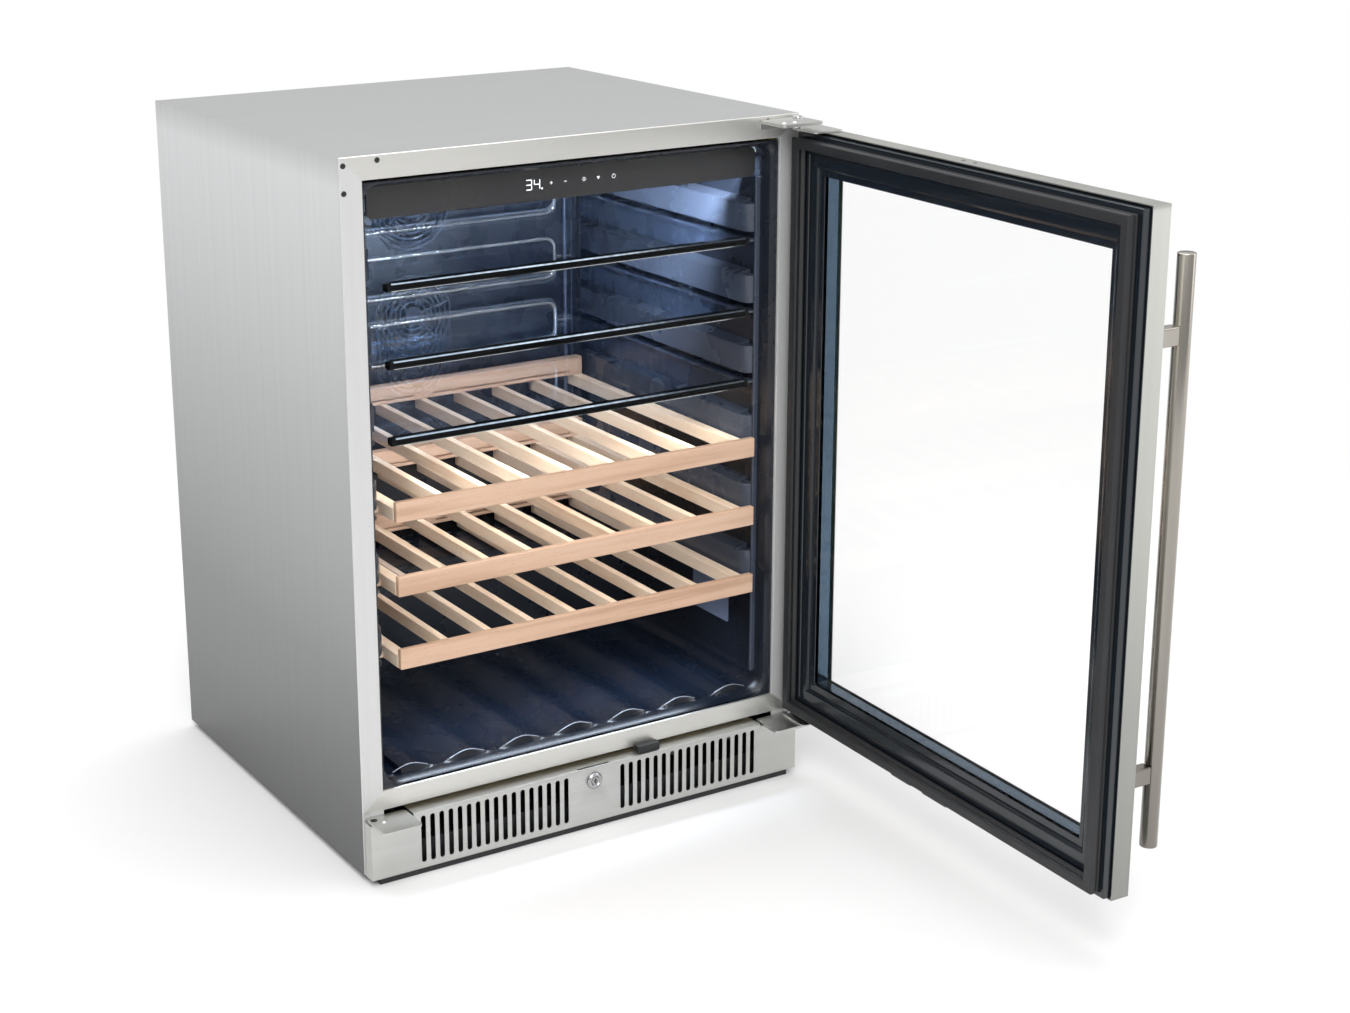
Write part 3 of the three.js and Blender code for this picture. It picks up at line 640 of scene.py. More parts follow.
def make_face_frame():
    """The mitred sheet round the opening, and the two legs that run on to the cabinet's bottom."""
    lo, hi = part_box("face_frame")
    liner_lo, liner_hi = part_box("inner_liner")
    gap = 0.3 * MM
    half, depth = hi.x, hi.y - lo.y
    side = half - (liner_hi.x + gap)
    sheet, fold, edge = 1.2 * MM, 1.5 * MM, 0.8 * MM
    sill = 24 * MM
    sill_bottom = liner_lo.z - gap - sill
    leg_overlap = 0.5 * MM
    profile = [
        (edge, lo.y), (0, edge), (0, fold), (side - sheet, fold), (side - sheet, depth), (side, depth),
        (side, edge), (side - 0.3 * edge, 0.3 * edge), (side - edge, lo.y),
    ]
    bm = bmesh.new()
    add_sweep(bm, profile, half, sill_bottom, hi.z, rise=sill / side)
    for sign in (-1, 1):
        x0, x1 = sorted((sign * half, sign * (half - side)))
        add_box(bm, (x0, 0.1 * MM, lo.z), (x1, fold, liner_lo.z - sill + leg_overlap), 1)
    finish_mesh("face_frame_sheet", bm, [RAIL_STEEL, POST_STEEL], "cabinet", ["face_frame"])

    screws = bmesh.new()
    places = ((-292.6, 827), (-252.7, 830), (-292.6, 797.5), (252.7, 830), (292.6, 797.5))
    for x, z in places:
        add_screw(screws, (x * MM, lo.y, z * MM), (0, -1, 0), 3.1 * MM, 0.9 * MM)
    finish_mesh("frame_screws", screws, [DARK_PAINT], "cabinet")


# ---- liner ----

CAVITY_HALF = 262.5 * MM
CAVITY_FLOOR = 112 * MM
CAVITY_TOP = 798 * MM
LINER_WALL = 2.2 * MM
GUIDE_PITCH = 87.2 * MM
GUIDE_TOP = 727 * MM
GUIDE_LEVELS = 6
RIDGE_PITCH = 74.5 * MM
RIDGE_HEIGHT = 9 * MM
RIDGES = 7


def floor_rise(x, height):
    """The cradle's wavy floor: how far it stands up at x."""
    return height / 2 * (1 + cos(2 * pi * x / RIDGE_PITCH))


def cavity_ring(bm, y, spread, ridge=0.0, low_r=26 * MM, high_r=14 * MM):
    """The cavity's section at y, moved outward by spread, with its floor's ridges."""
    half = CAVITY_HALF + spread
    floor = CAVITY_FLOOR - min(spread, 3.9 * MM)
    span = RIDGES * RIDGE_PITCH
    steps = 12 * RIDGES
    wavy_half = 236 * MM
    xs = [-span / 2 + span * i / steps for i in range(steps + 1)]
    outline = [(x, floor + floor_rise(x, ridge)) for x in xs if abs(x) <= wavy_half]
    outline += corner_arcs(-half, half, floor, CAVITY_TOP + spread, low_r, high_r, 8)
    return [bm.verts.new((x, y, z)) for x, z in outline]


def add_liner_walls(bm, lip, back, flange):
    """The liner's skin in one strip of rings: outside, front flange, stepped mouth, inside."""
    soft = 0.6 * MM
    square = (0, 1.5 * MM, 1.5 * MM)
    step = 11 * MM
    rows = [
        (back, LINER_WALL), (step, LINER_WALL), (step, flange, *square), (lip + soft, flange, *square),
        (lip, flange - soft, *square),
    ]
    # in millimetres: depth, spread, ridge, lower and upper corner radius
    mouth = ((0, 6.4, 0, 30, 18), (0.4, 5.6, 0, 30, 18), (1.6, 5.8, 0, 30, 18), (2.2, 5.4, 0, 29, 17),
             (2.6, 5.0), (3.6, 4.5))
    inside = ((11, 2.2), (12, 1.9), (13, 1.6), (19, 0), (23, 0), (24.5, 0, 6), (25.4, 0, 8.6), (28, 0, 9))
    rows += [(lip + y * MM, *[v * MM for v in row]) for y, *row in mouth]
    rows += [[v * MM for v in row] for row in inside]
    rows.append((back - LINER_WALL, 0, RIDGE_HEIGHT))
    rings = [cavity_ring(bm, *row) for row in rows]
    count = len(rings[0])
    for a, b in zip(rings, rings[1:]):
        for i in range(count):
            j = (i + 1) % count
            bm.faces.new((a[i], a[j], b[j], b[i]))
    bm.faces.new(rings[-1])
    bm.faces.new(list(reversed(rings[0])))


def make_liner_shell():
    """The liner's walls, its cradle floor and the rounded hump over the compressor."""
    lo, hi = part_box("inner_liner")
    hump_front, hump_top, hump_r = 330 * MM, 244 * MM, 6 * MM
    overlap = 1 * MM
    bm = bmesh.new()
    add_liner_walls(bm, lo.y, hi.y, hi.x - CAVITY_HALF)
    for face in bm.faces:
        middle = face.calc_center_median()
        on_floor = middle.z < CAVITY_FLOOR + 14 * MM and abs(middle.x) < CAVITY_HALF
        if on_floor and 3 * MM < middle.y < hump_front:
            face.material_index = 1
    base, rear = CAVITY_FLOOR - overlap, hi.y - LINER_WALL - overlap
    hump = [(hump_front, base)]
    hump += arc_points(hump_front + hump_r, hump_top - hump_r, hump_r, 180, -90, 6)
    hump += [(rear, hump_top), (rear, base)]
    reach = CAVITY_HALF + 0.5 * MM
    add_prism(bm, hump, along_x(-reach, reach))
    finish_mesh("liner_shell", bm, [LINER, CRADLE], "cabinet", ["inner_liner"], 50)


def make_cradle_lips():
    """A fine raised edge along the front of each ridge, in a pale bluish metal that paints the highlight
    these edges catch.
    """
    lips = bmesh.new()
    half_steps, step = 8, 2.8 * MM
    for i in range(RIDGES):
        middle = (i - RIDGES // 2) * RIDGE_PITCH
        reach = [k * step for k in range(-half_steps, half_steps + 1)]
        path = [(middle + dx, 25.6 * MM, CAVITY_FLOOR + floor_rise(dx, RIDGE_HEIGHT)) for dx in reach]
        add_tube(lips, path, 0.6 * MM, False, 8)
    finish_mesh("cradle_lips", lips, [LIP_HIGHLIGHT], "cabinet", sharp=50)


def add_guide(bm, sign, top):
    """A chamfered block with a groove under it, and the thin ledge that closes the groove."""
    height, ledge, groove = 46 * MM, 3 * MM, 9 * MM
    bottom = top - height
    face, wall = sign * 247 * MM, sign * (CAVITY_HALF + 1 * MM)
    back = 430 * MM
    front = [(wall, 30 * MM), (face + sign * 6 * MM, 33 * MM), (face + sign * 1.6 * MM, 38 * MM),
             (face, 45 * MM)]
    inner = face + sign * 5 * MM
    block = front + [(face, 352 * MM), (inner, 358 * MM), (inner, back), (wall, back)]
    add_prism(bm, block, along_z(bottom + ledge + groove, top))
    add_prism(bm, front + [(face, back), (wall, back)], along_z(bottom, bottom + ledge))
    low, high = top - 0.4 * MM, top + 5 * MM
    slope = [(face + sign * 0.4 * MM, low), (wall, low), (wall, high)]
    add_prism(bm, slope, along_y(46 * MM, 350 * MM))


def make_shelf_guides():
    guides = bmesh.new()
    for level in range(GUIDE_LEVELS):
        for sign in (-1, 1):
            add_guide(guides, sign, GUIDE_TOP - level * GUIDE_PITCH)
    # upright beads at the mouth
    for sign in (-1, 1):
        x0, x1 = sorted((sign * (CAVITY_HALF - 6 * MM), sign * (CAVITY_HALF + 1 * MM)))
        add_box(guides, (x0, 27 * MM, 132 * MM), (x1, 31 * MM, 760 * MM))
    bevel(finish_mesh("shelf_guides", guides, [GUIDE_SHEEN], "cabinet"), 1.2 * MM, 3)


def make_corner_ribs():
    ribs = bmesh.new()
    for x in (-243, -231, 231, 243):
        foot, head = [(x * MM, 434.4 * MM, z * MM) for z in (250, 790)]
        add_tube(ribs, [foot, head], 2.6 * MM, False, 12)
    finish_mesh("corner_ribs", ribs, [GUIDE_SHEEN], "cabinet", sharp=50)


def make_information_plate():
    """A blank plate on the right wall."""
    plate = bmesh.new()
    x = CAVITY_HALF - 0.9 * MM
    outline = round_outline(85 * MM, 165 * MM, 178 * MM, 236 * MM, 3 * MM)
    add_prism(plate, outline, along_x(x, x + 0.8 * MM))
    label = principled("label_film", (0.16, 0.2, 0.3), 0.3)[0]
    finish_mesh("information_plate", plate, [label], "cabinet")


def add_ring_grille(bm, centre):
    """Six rings on six spokes, round a flat hub."""
    outer, wire = 54, 1.5 * MM
    for radius in (outer, 47, 40, 33, 26, 19):
        circle = circle_points(centre.x, centre.z, radius * MM, 48)
        thick = 1.85 * MM if radius == outer else wire
        add_tube(bm, [(x, centre.y, z) for x, z in circle], thick, True, 8)
    for i in range(6):
        a = pi * i / 3 + 0.26
        tip = Vector((cos(a), 0, sin(a)))
        add_tube(bm, [centre + tip * 10 * MM, centre + tip * outer * MM], wire, False, 8)
    thick = 1.8 * MM
    hub = [(0, -thick), (12 * MM, -thick), (12.5 * MM, 0), (11 * MM, thick), (0, thick)]
    add_lathe(bm, hub, facing(centre, (0, -1, 0)), 32)


def make_rear_wall():
    paint("rear_duct_cover", LINER, 0.8 * MM)
    for name in ("upper", "lower"):
        lo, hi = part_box(f"fan_grille_{name}")
        bm = bmesh.new()
        add_ring_grille(bm, (lo + hi) / 2)
        finish_mesh(f"ring_grille_{name}", bm, [GUIDE_SHEEN], "cabinet", [f"fan_grille_{name}"])
        paint(f"evaporator_fan_{name}", BLACK)


def make_cooling():
    """The machinery keeps its own meshes; a bent pipe is added beside the compressor."""
    for name, material in (("evaporator_coil", ALUMINIUM), ("compressor", DARK_PAINT),
                           ("drain_pan", BLACK), ("condenser", DARK_PAINT), ("condenser_fan", BLACK)):
        paint(name, material)
    bm = bmesh.new()
    start, length, sway, dip = Vector((0.135, 0.02, 0.058)), 90 * MM, 20 * MM, 6 * MM
    steps = 24
    path = []
    for i in range(steps + 1):
        t = i / steps
        path.append(start + Vector((length * t, sway * sin(t * 3.2), -dip * cos(t * 6.3))))
    add_tube(bm, path, 3.2 * MM)
    finish_mesh("suction_pipe", bm, [ALUMINIUM], "cabinet")


# ---- control strip ----

def segment_digit(bm, x, z, width, height, segments, place):
    """A seven-segment digit, lower left corner at x, z. segments is a string of the letters a to g."""
    t = 0.12 * width
    gap = 0.62 * t
    mid = height / 2
    bars = {
        "a": (0, height, width, height), "b": (width, height, width, mid), "c": (width, mid, width, 0),
        "d": (0, 0, width, 0), "e": (0, mid, 0, 0), "f": (0, height, 0, mid), "g": (0, mid, width, mid),
    }
    for letter in segments:
        u0, v0, u1, v1 = bars[letter]
        a, b = Vector((u0, v0)), Vector((u1, v1))
        along = (b - a).normalized()
        across = Vector((-along.y, along.x)) * t / 2
        a, b = a + along * gap, b - along * gap
        tip = along * t / 2
        outline = [a - tip, a + across, b + across, b + tip, b - across, a - across]
        add_prism(bm, [(x + p.x, z + p.y) for p in outline], place)


def make_control_strip():
    """The dark strip with the flange behind it, and a pale glowing line along its top edge that paints a
    highlight there.
    """
    lo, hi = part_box("control_panel")
    front, steps, inset = lo.y, 8, 4 * MM
    outline = round_outline(lo.x, hi.x, lo.z, hi.z, 7 * MM, steps)
    strip = bmesh.new()
    add_prism(strip, outline, along_y(front, front + 4 * MM))
    flange = (lo.x + inset, front + 3.6 * MM, lo.z + 2 * MM), (hi.x - inset, hi.y, lo.z + 4.5 * MM)
    add_box(strip, *flange)
    strip = finish_mesh("control_strip", strip, [PANEL], "cabinet", ["control_panel"])
    bevel(strip, 0.9 * MM, 3)

    # Painted highlight: a thin glowing tube along the strip's top edge.
    edge = bmesh.new()
    top_edge = outline[steps + 1:3 * (steps + 1)]
    add_tube(edge, [(x, front + 0.1 * MM, z) for x, z in top_edge], 0.7 * MM, False, 8)
    finish_mesh("control_strip_painted_highlight", edge, [PANEL_HIGHLIGHT_GLOW], "cabinet", sharp=50)


def make_display_marks():
    """Two digits with a point, then five touch marks: plus, minus, star, arrow and power."""
    lo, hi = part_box("control_panel")
    y0, y1 = lo.y - 0.25 * MM, lo.y + 0.1 * MM
    z = (lo.z + hi.z) / 2 + 1 * MM
    depth = along_y(y0, y1)
    digit_width, digit_height = 7 * MM, 11 * MM
    thin, arm = 0.7 * MM, 3.6 * MM
    plus, minus, star, arrow, power = [x * MM for x in (-24.6, -6.1, 18.3, 37.2, 57.8)]
    marks = bmesh.new()

    def dot(x, v, half, radius, steps, index):
        outline = round_outline(x - half, x + half, v - half, v + half, radius, steps)
        add_prism(marks, outline, depth, index)

    def bar(x, dz, width, height):
        v = z + dz
        add_box(marks, (x - width / 2, y0, v - height / 2), (x + width / 2, y1, v + height / 2), 1)

    for x, segments in ((-57, "abcdg"), (-46.5, "bcfg")):
        segment_digit(marks, x * MM, z - digit_height / 2, digit_width, digit_height, segments, depth)
    dot(-36.6 * MM, z - 5.3 * MM, 0.9 * MM, 0.6 * MM, 3, 0)
    bar(plus, 0, arm, thin)
    bar(plus, 0, thin, arm)
    bar(minus, 0, arm, thin)
    for x, v in circle_points(star, z, 2.1 * MM, 6):
        dot(x, v, 0.5 * MM, 0.4 * MM, 3, 1)
    dot(star, z, 0.7 * MM, 0.6 * MM, 4, 1)
    add_prism(marks, shifted(arrow, z, ((-2, 1.6), (2, 1.6), (0, -2))), depth, 1)
    ring = arc_points(power, z, 2.3 * MM, 125, 290, 24)
    add_tube(marks, [(x, lo.y - 0.05 * MM, v) for x, v in ring], 0.3 * MM, False, 6, 1)
    bar(power, 1.9 * MM, thin, 2.2 * MM)
    finish_mesh("display_marks", marks, [DIGIT, ICON], "cabinet")


def make_light_strip():
    """The lens behind the control strip with its row of small lamps, and the light inside the cavity."""
    lo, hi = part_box("light_strip")
    lens = bmesh.new()
    add_box(lens, lo, hi)
    bevel(finish_mesh("light_lens", lens, [PANEL], "cabinet", ["light_strip"]), 1 * MM)
    dots = bmesh.new()
    count = 44
    dome = [(0, -0.6 * MM), (1.6 * MM, -0.4 * MM), (1.8 * MM, 0), (0, 0.2 * MM)]
    for i in range(count):
        x = lo.x + (hi.x - lo.x) * (i + 0.5) / count
        add_lathe(dots, dome, facing((x, (lo.y + hi.y) / 2, lo.z), (0, 0, 1)), 10)
    finish_mesh("light_dots", dots, [LED], "cabinet")
    width, depth = 0.44, 0.03
    warm, cool, pale = (1.0, 0.96, 0.9), (0.72, 0.84, 1.0), (0.76, 0.86, 1.0)
    area_light("rack_light", (0, 0.03, 0.5), (0, 0.27, 0.2), (width, depth), 0.55, warm, 130)
    area_light("cradle_light", (0, 0.06, 0.225), (0, 0.12, 0), (width, depth), 0.65, cool, 120)
    area_light("cavity_light", (0, 0.05, lo.z - 2 * MM), (0, 0.2, 0.2), (width, 0.014), 9.0, pale)


# ---- kick plate and lock ----

def add_spline(curve, points):
    spline = curve.splines.new("POLY")
    spline.points.add(len(points) - 1)
    for point, (u, v) in zip(spline.points, points):
        point.co = (u, v, 0, 1)
    spline.use_cyclic_u = True


def kick_front_mesh(lo, hi, shoulder, middle, thick):
    """The flat front: a stepped outline with two groups of slots and the lock's hole."""
    edge = 0.25 * MM
    curve = bpy.data.curves.new("kick_front", "CURVE")
    curve.dimensions = "2D"
    curve.fill_mode = "BOTH"
    curve.extrude = thick / 2 - edge
    curve.bevel_depth = edge
    curve.bevel_resolution = 1
    left, right, inner = lo.x + edge, hi.x - edge, middle - edge
    low, step, high = lo.z + edge, shoulder - edge, hi.z - edge
    add_spline(curve, [(left, low), (right, low), (right, step), (inner, step), (inner, high),
                       (-inner, high), (-inner, step), (left, step)])
    slots, pitch, group_x = 17, 11.9 * MM, 134.5 * MM
    slot_low, slot_high, half = 15.5 * MM, 74 * MM, 3 * MM + edge
    for group in (-group_x, group_x):
        for i in range(slots):
            x = group + (i - slots // 2) * pitch
            add_spline(curve, round_outline(x - half, x + half, slot_low, slot_high, half * 0.98, 6))
    add_spline(curve, circle_points(0, 62 * MM, 8.3 * MM, 32))
    shape = new_object("kick_front", curve)
    bpy.context.view_layer.update()
    front = bpy.data.meshes.new_from_object(shape)
    bpy.data.objects.remove(shape)
    return front


def make_kick_plate():
    """Slotted front, folded ends, and a top flange with a narrow slot for the lock's tongue."""
    lo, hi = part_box("kick_plate")
    thick, shoulder, middle = 1.2 * MM, 76.2 * MM, 242 * MM
    front = kick_front_mesh(lo, hi, shoulder, middle, thick)
    front.transform(Matrix.Translation((0, lo.y + thick / 2, 0)) @ Matrix.Rotation(pi / 2, 4, "X"))
    bm = bmesh.new()
    bm.from_mesh(front)
    bpy.data.meshes.remove(front)
    for sign in (-1, 1):
        x0, x1 = sorted((sign * hi.x, sign * (hi.x - thick)))
        add_box(bm, (x0, lo.y + thick * 0.6, lo.z), (x1, hi.y, shoulder - 0.3 * MM))
    slot_half, slot_front, slot_back = 22 * MM, -15.4 * MM, -12.4 * MM
    fold, back = lo.y + 0.4 * MM, 14 * MM
    z0, z1 = hi.z - thick, hi.z - 0.05 * MM
    flange = ((-middle, -slot_half, fold, back), (slot_half, middle, fold, back),
              (-slot_half, slot_half, fold, slot_front), (-slot_half, slot_half, slot_back, back))
    for x0, x1, y0, y1 in flange:
        add_box(bm, (x0, y0, z0), (x1, y1, z1))
    finish_mesh("kick_plate_sheet", bm, [KICK_STEEL], "cabinet", ["kick_plate"], sharp=30)


def make_lock():
    """A turned bezel, and the cylinder in it with its keyway; a thin black ring and slot on the
    cylinder's face are painted shade for a recess and the keyway.
    """
    lo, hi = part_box("lock_housing")
    centre = (lo + hi) / 2
    outward = (0, -1, 0)
    face, bore, barrel, rim = hi.y - lo.y, 5.4 * MM, 8 * MM, 10.5 * MM
    profile = [
        (bore, 0), (barrel, 0), (barrel, 2.3 * MM), (rim, 2.3 * MM), (rim, 3 * MM),
        (rim - 0.6 * MM, 4 * MM), (rim - 2 * MM, face), (bore + 0.8 * MM, face), (bore, face - 0.8 * MM),
        (bore, 0),
    ]
    bm = bmesh.new()
    add_lathe(bm, profile, facing((centre.x, hi.y, centre.z), outward), 48)
    finish_mesh("lock_bezel", bm, [LOCK_METAL], "cabinet", ["lock_housing"])
    paint("lock_cylinder", LOCK_METAL)
    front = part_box("lock_cylinder")[0].y
    # Painted shade: a thin black ring for the recess on the cylinder's face and a black slot for the
    # keyway.
    keyway_shade = bmesh.new()
    ring = shifted(0, 0, ((1.5, 0.1), (1.6, 0.3), (2.5, 0.3), (2.6, 0.1), (1.5, 0.1)))
    add_lathe(keyway_shade, ring, facing((centre.x, front + 0.2 * MM, centre.z), outward), 24)
    half_width, half_height = 0.35 * MM, 1.6 * MM
    add_box(keyway_shade, (-half_width, front - 0.1 * MM, centre.z - half_height),
            (half_width, front, centre.z + half_height))
    finish_mesh("lock_keyway_shade", keyway_shade, [BLACK], "lock")


def make_hinges():
    """Brackets, pins and leaves keep their own meshes; the brackets' screws are added."""
    paint("door_sensor", BLACK, 1.2 * MM, 3)
    for name in ("lower_right", "lower_left", "top"):
        paint(f"hinge_bracket_{name}", KICK_STEEL, 0.5 * MM)
    for name in ("lower", "top"):
        paint(f"hinge_pin_{name}", CHROME)
    for name in ("top", "lower"):
        paint(f"hinge_leaf_{name}", KICK_STEEL)
    up = (0, 0, 1)
    screws = bmesh.new()
    lo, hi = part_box("hinge_bracket_top")
    for x in (lo.x + 9 * MM, lo.x + 24 * MM):
        add_screw(screws, (x, lo.y + 12 * MM, hi.z), up, 3.2 * MM, 1.2 * MM)
    lo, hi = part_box("hinge_bracket_lower_left")
    add_screw(screws, (lo.x + 14 * MM, -20 * MM, hi.z), up, 2.6 * MM, 0.9 * MM)
    finish_mesh("hinge_screws", screws, [CHROME], "cabinet")


# ---- door ----

DOOR_LO, DOOR_HI = closed_box("door_outer_frame")
STILE = 51 * MM


def door_ring(name, profile, materials, node, sharp=35, uprights=0):
    """A mitred frame as large as the door, turned open with it."""
    bm = bmesh.new()
    add_sweep(bm, profile, DOOR_HI.x, DOOR_LO.z, DOOR_HI.z, uprights)
    finish_mesh(name, bm, materials, "door", [node], sharp)


def make_door_skin():
    """Folded steel with a rounded outer edge, and two small fixing holes in its top, drawn as thin black
    discs of painted shade.
    """
    y0, y1 = DOOR_LO.y, DOOR_HI.y
    sheet, edge, r = 1.2 * MM, 0.5 * MM, 1.2 * MM
    profile = [(0, y1), (0, y0 + r)] + arc_points(r, y0 + r, r, 195, 75, 5)
    inside = y0 + sheet
    profile += [(STILE - edge, y0), (STILE, y0 + edge), (STILE, inside), (sheet, inside), (sheet, y1)]
    metals = [DOOR_RAIL, DOOR_POST]
    door_ring("door_skin", profile, metals, "door_outer_frame", uprights=1)

    # Painted shade: thin raised black discs where the holes are.
    hole_shade = bmesh.new()
    radius, raised = 2.2 * MM, 0.15 * MM
    disc = [(0, 0), (radius, 0), (radius, raised), (0, raised)]
    for x in (-10 * MM, 10 * MM):
        add_lathe(hole_shade, disc, Matrix.Translation((x, (y0 + y1) / 2, DOOR_HI.z)), 16)
    finish_mesh("door_top_hole_shade", hole_shade, [BLACK], "door")


def make_door_liner():
    """The black inner frame, with a groove for the seal and steps down to the glass."""
    inner_hi = closed_box("door_inner_frame")[1]
    back, inset = inner_hi.y, DOOR_HI.x - inner_hi.x
    front, rebate, rebate_y = -44 * MM, 38.5 * MM, -21.1 * MM
    rim = ((0, -1), (0.7, 0), (6, 0), (6.8, -1.6))
    steps = ((22.5, -1.6), (23.2, 0), (27, 0), (28, -1), (38, -1.4), (40.5, -2.6), (42.4, -3.6),
             (43, -5.5), (48, -6), (50.6, -6.4), (51, -7))
    profile = [(inset, front)] + shifted(inset, back, rim) + shifted(0, back, steps)
    profile += [(STILE, rebate_y), (rebate, rebate_y), (rebate, front)]
    door_ring("door_liner_frame", profile, [DOOR_BLACK], "door_inner_frame", 25)


def make_door_seal():
    """A soft bellows section between the door and the cabinet."""
    lo, hi = closed_box("door_gasket")
    outer = DOOR_HI.x - hi.x
    profile = shifted(outer, lo.y, ((1, 0), (0.4, 2.2), (2.6, 3.6), (1, 5.4)))
    tip = ((0.6, -3), (1.2, -0.6), (2.2, 0), (10.6, 0), (12.2, -0.8), (12.8, -3))
    profile += shifted(outer, hi.y, tip)
    profile += shifted(outer, lo.y, ((11, 5.4), (12.4, 3.4), (13.6, 2), (13, 0)))
    door_ring("door_seal", profile, [RUBBER], "door_gasket", 30)


def make_door_panes():
    for name in ("door_glass_outer", "door_glass_inner"):
        lo, hi = closed_box(name)
        bm = bmesh.new()
        add_box(bm, lo, hi)
        for face in bm.faces:
            face.normal_update()
            face.material_index = 0 if abs(face.normal.y) > 0.5 else 1
        piece_name = name.replace("glass", "pane")
        pane = finish_mesh(piece_name, bm, [PANE, GLASS_EDGE], "door", [name])
        bevel(pane, 0.5 * MM, 1)
    paint("door_glass_spacer", SPACER_REFLECTION)
    paint("lock_keeper", BLACK, 1 * MM)
    paint("sensor_magnet", BLACK, 1 * MM)


def make_handle():
    """A round bar with softened ends on two posts."""
    lo, hi = closed_box("handle_bar")
    centre = (lo + hi) / 2
    radius, height = (hi.y - lo.y) / 2, hi.z - lo.z
    soft = 0.9 * MM
    half = [(0, 0), (radius - soft, 0), (radius - soft * 0.3, soft * 0.3), (radius, soft)]
    profile = half + [(r, height - z) for r, z in reversed(half)]
    bm = bmesh.new()
    add_lathe(bm, profile, Matrix.Translation((centre.x, centre.y, lo.z)), 48)
    finish_mesh("handle_tube", bm, [HANDLE_STEEL], "door", ["handle_bar"], sharp=50)
    for name in ("handle_post_lower", "handle_post_upper"):
        paint(name, HANDLE_STEEL, 0.8 * MM)


# ---- shelves and racks ----

def make_trim_section(bm, lo, hi):
    """A rounded strip with a shallow groove along its front, closed by small end blocks."""
    y, groove, end = lo.y, 1.2 * MM, 5 * MM
    high = hi.z - lo.z
    length = along_x(lo.x + end, hi.x - end)
    section = [(hi.y, lo.z), (y + 2 * MM, lo.z), (y + 0.6 * MM, lo.z + 0.6 * MM)]
    section += [(y + d, lo.z + share * high) for d, share in
                ((0, 0.16), (0, 0.34), (groove, 0.42), (groove, 0.54), (0, 0.62))]
    section += shifted(y, hi.z, ((0.2, -1.4), (1.2, -0.3), (2.4, 0))) + [(hi.y, hi.z)]
    add_prism(bm, section, length)
    block = round_outline(lo.y, hi.y, lo.z, hi.z, 2.4 * MM, 5)
    add_prism(bm, block, along_x(lo.x, lo.x + end))
    add_prism(bm, block, along_x(hi.x - end, hi.x))
    # The top front strip takes the painted, glowing reflection of the lamp dots; the lower strip is
    # chrome.
    add_prism(bm, shifted(y, hi.z, ((0, -1.3), (0.3, -0.5), (1.2, 0), (3, 0), (3, -1.3))), length, 1)
    add_prism(bm, shifted(y, lo.z, ((0.4, 0.3), (0.2, 0.8), (2, 0.8), (2, 0.3))), length, 2)


def make_glass_shelf(number):
    """A pane, its front trim, and a wire loop with two arms along its rear."""
    body = f"glass_shelf_{number}"
    pane = nodes[f"{body}_pane"]
    pane.data.materials.clear()
    for material in (SHELF_GLASS, GLASS_EDGE):
        pane.data.materials.append(material)
    bevel(pane, 0.8 * MM, 2)

    lo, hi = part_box(f"{body}_trim")
    bm = bmesh.new()
    make_trim_section(bm, lo, hi)
    finish_mesh(f"{body}_front_trim", bm, [BLACK_GLOSS, LED_REFLECTION_PAINT, CHROME], body, [f"{body}_trim"],
                sharp=50)

    lo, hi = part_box(f"{body}_guard")
    wire = (hi.y - lo.y) / 2
    y, middle = (lo.y + hi.y) / 2, (lo.z + hi.z) / 2
    half = 212 * MM - wire
    outline = round_outline(-half, half, lo.z + wire, hi.z - wire, 15 * MM, 8)
    bm = bmesh.new()
    add_tube(bm, [(x, y, z) for x, z in outline], wire, True, 12)
    for sign in (-1, 1):
        arm = [(sign * (half - 2 * MM), y, middle), (sign * hi.x, y, middle)]
        add_tube(bm, arm, wire * 0.8, False, 10)
    finish_mesh(f"{body}_wire_guard", bm, [WIRE], body, [f"{body}_guard"], sharp=50)


def make_rack(number):
    body = f"wood_rack_{number}"
    bm = bmesh.new()
    add_box(bm, *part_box(f"{body}_front_bar"))
    bar = finish_mesh(f"{body}_bar", bm, [BEECH_ALONG_X], body, [f"{body}_front_bar"])
    bevel(bar, 1.6 * MM, 3)
    make_rack_frame(body)


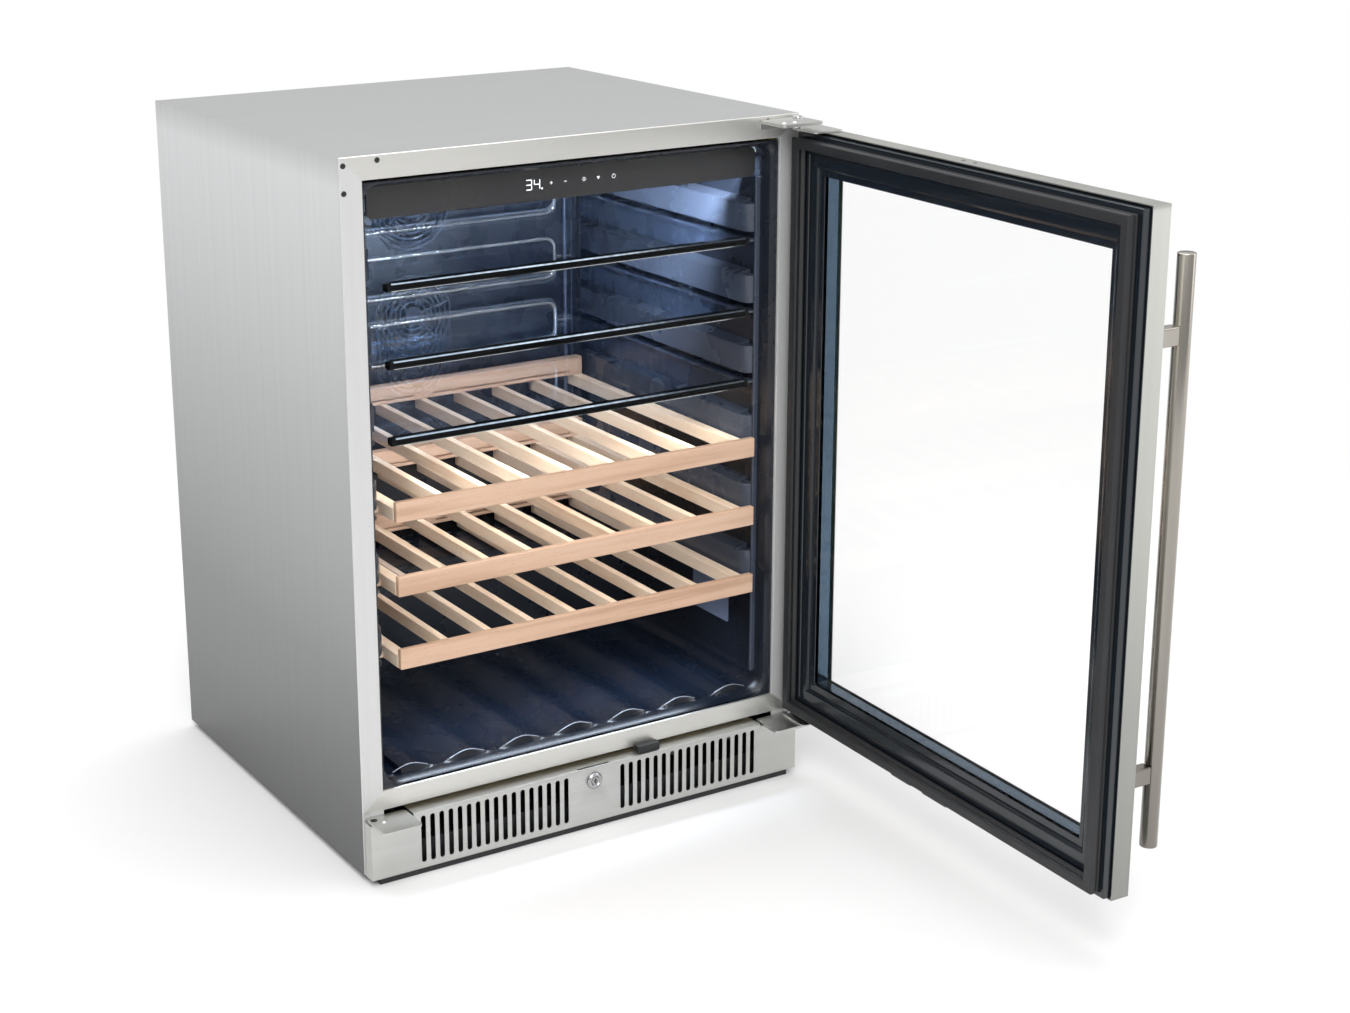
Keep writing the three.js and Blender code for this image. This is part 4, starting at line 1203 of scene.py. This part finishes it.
def make_rack_frame(body):
    """Seven slats, two side rails with their tongues, and the tall grooved bar across the rear."""
    lo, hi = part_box(f"{body}_frame")
    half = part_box(f"{body}_front_bar")[1].x
    low, rear = lo.z, hi.y
    rest, slat_top = rear - 16 * MM, low + 15.5 * MM
    top = slat_top - 0.02 * MM
    count, pitch, slat_half, rail = 7, 57.5 * MM, 4.5 * MM, 14 * MM
    pieces = bmesh.new()
    for i in range(count):
        x = (i - count // 2) * pitch
        add_box(pieces, (x - slat_half, lo.y, low), (x + slat_half, rear, top))
    for sign in (-1, 1):
        x0, x1 = sorted((sign * half, sign * (half - rail)))
        add_box(pieces, (x0, lo.y, low), (x1, rear, top))
        x0, x1 = sorted((sign * half, sign * hi.x))
        add_box(pieces, (x0, 48 * MM, low + 0.5 * MM), (x1, rear, low + 8.5 * MM))
    slats = finish_mesh(f"{body}_slats", pieces, [BEECH_ALONG_Y], body, [f"{body}_frame"])
    bevel(slats, 0.9 * MM, 2)

    back = bmesh.new()
    groove_z, groove_half, depth = low + 21.2 * MM, 1.2 * MM, 4 * MM
    below, above, floor = groove_z - groove_half, groove_z + groove_half, rest + depth
    add_box(back, (-half, floor, slat_top), (half, rear, hi.z))
    add_box(back, (-half, rest, slat_top), (half, floor, below))
    add_box(back, (-half, rest, above), (half, floor, hi.z))
    groove_in, groove_out = 14 * MM, 222 * MM
    for x0, x1 in ((-half, -groove_out), (-groove_in, groove_in), (groove_out, half)):
        add_box(back, (x0, rest, below), (x1, floor, above))
    bevel(finish_mesh(f"{body}_rear_bar", back, [BEECH_ALONG_X], body), 0.5 * MM, 1)


make_cabinet()
make_face_frame()
make_liner_shell()
make_cradle_lips()
make_shelf_guides()
make_corner_ribs()
make_information_plate()
make_rear_wall()
make_cooling()
make_control_strip()
make_display_marks()
make_light_strip()
make_kick_plate()
make_lock()
make_hinges()
make_door_skin()
make_door_liner()
make_door_seal()
make_door_panes()
make_handle()
for number in (1, 2, 3):
    make_glass_shelf(number)
    make_rack(number)
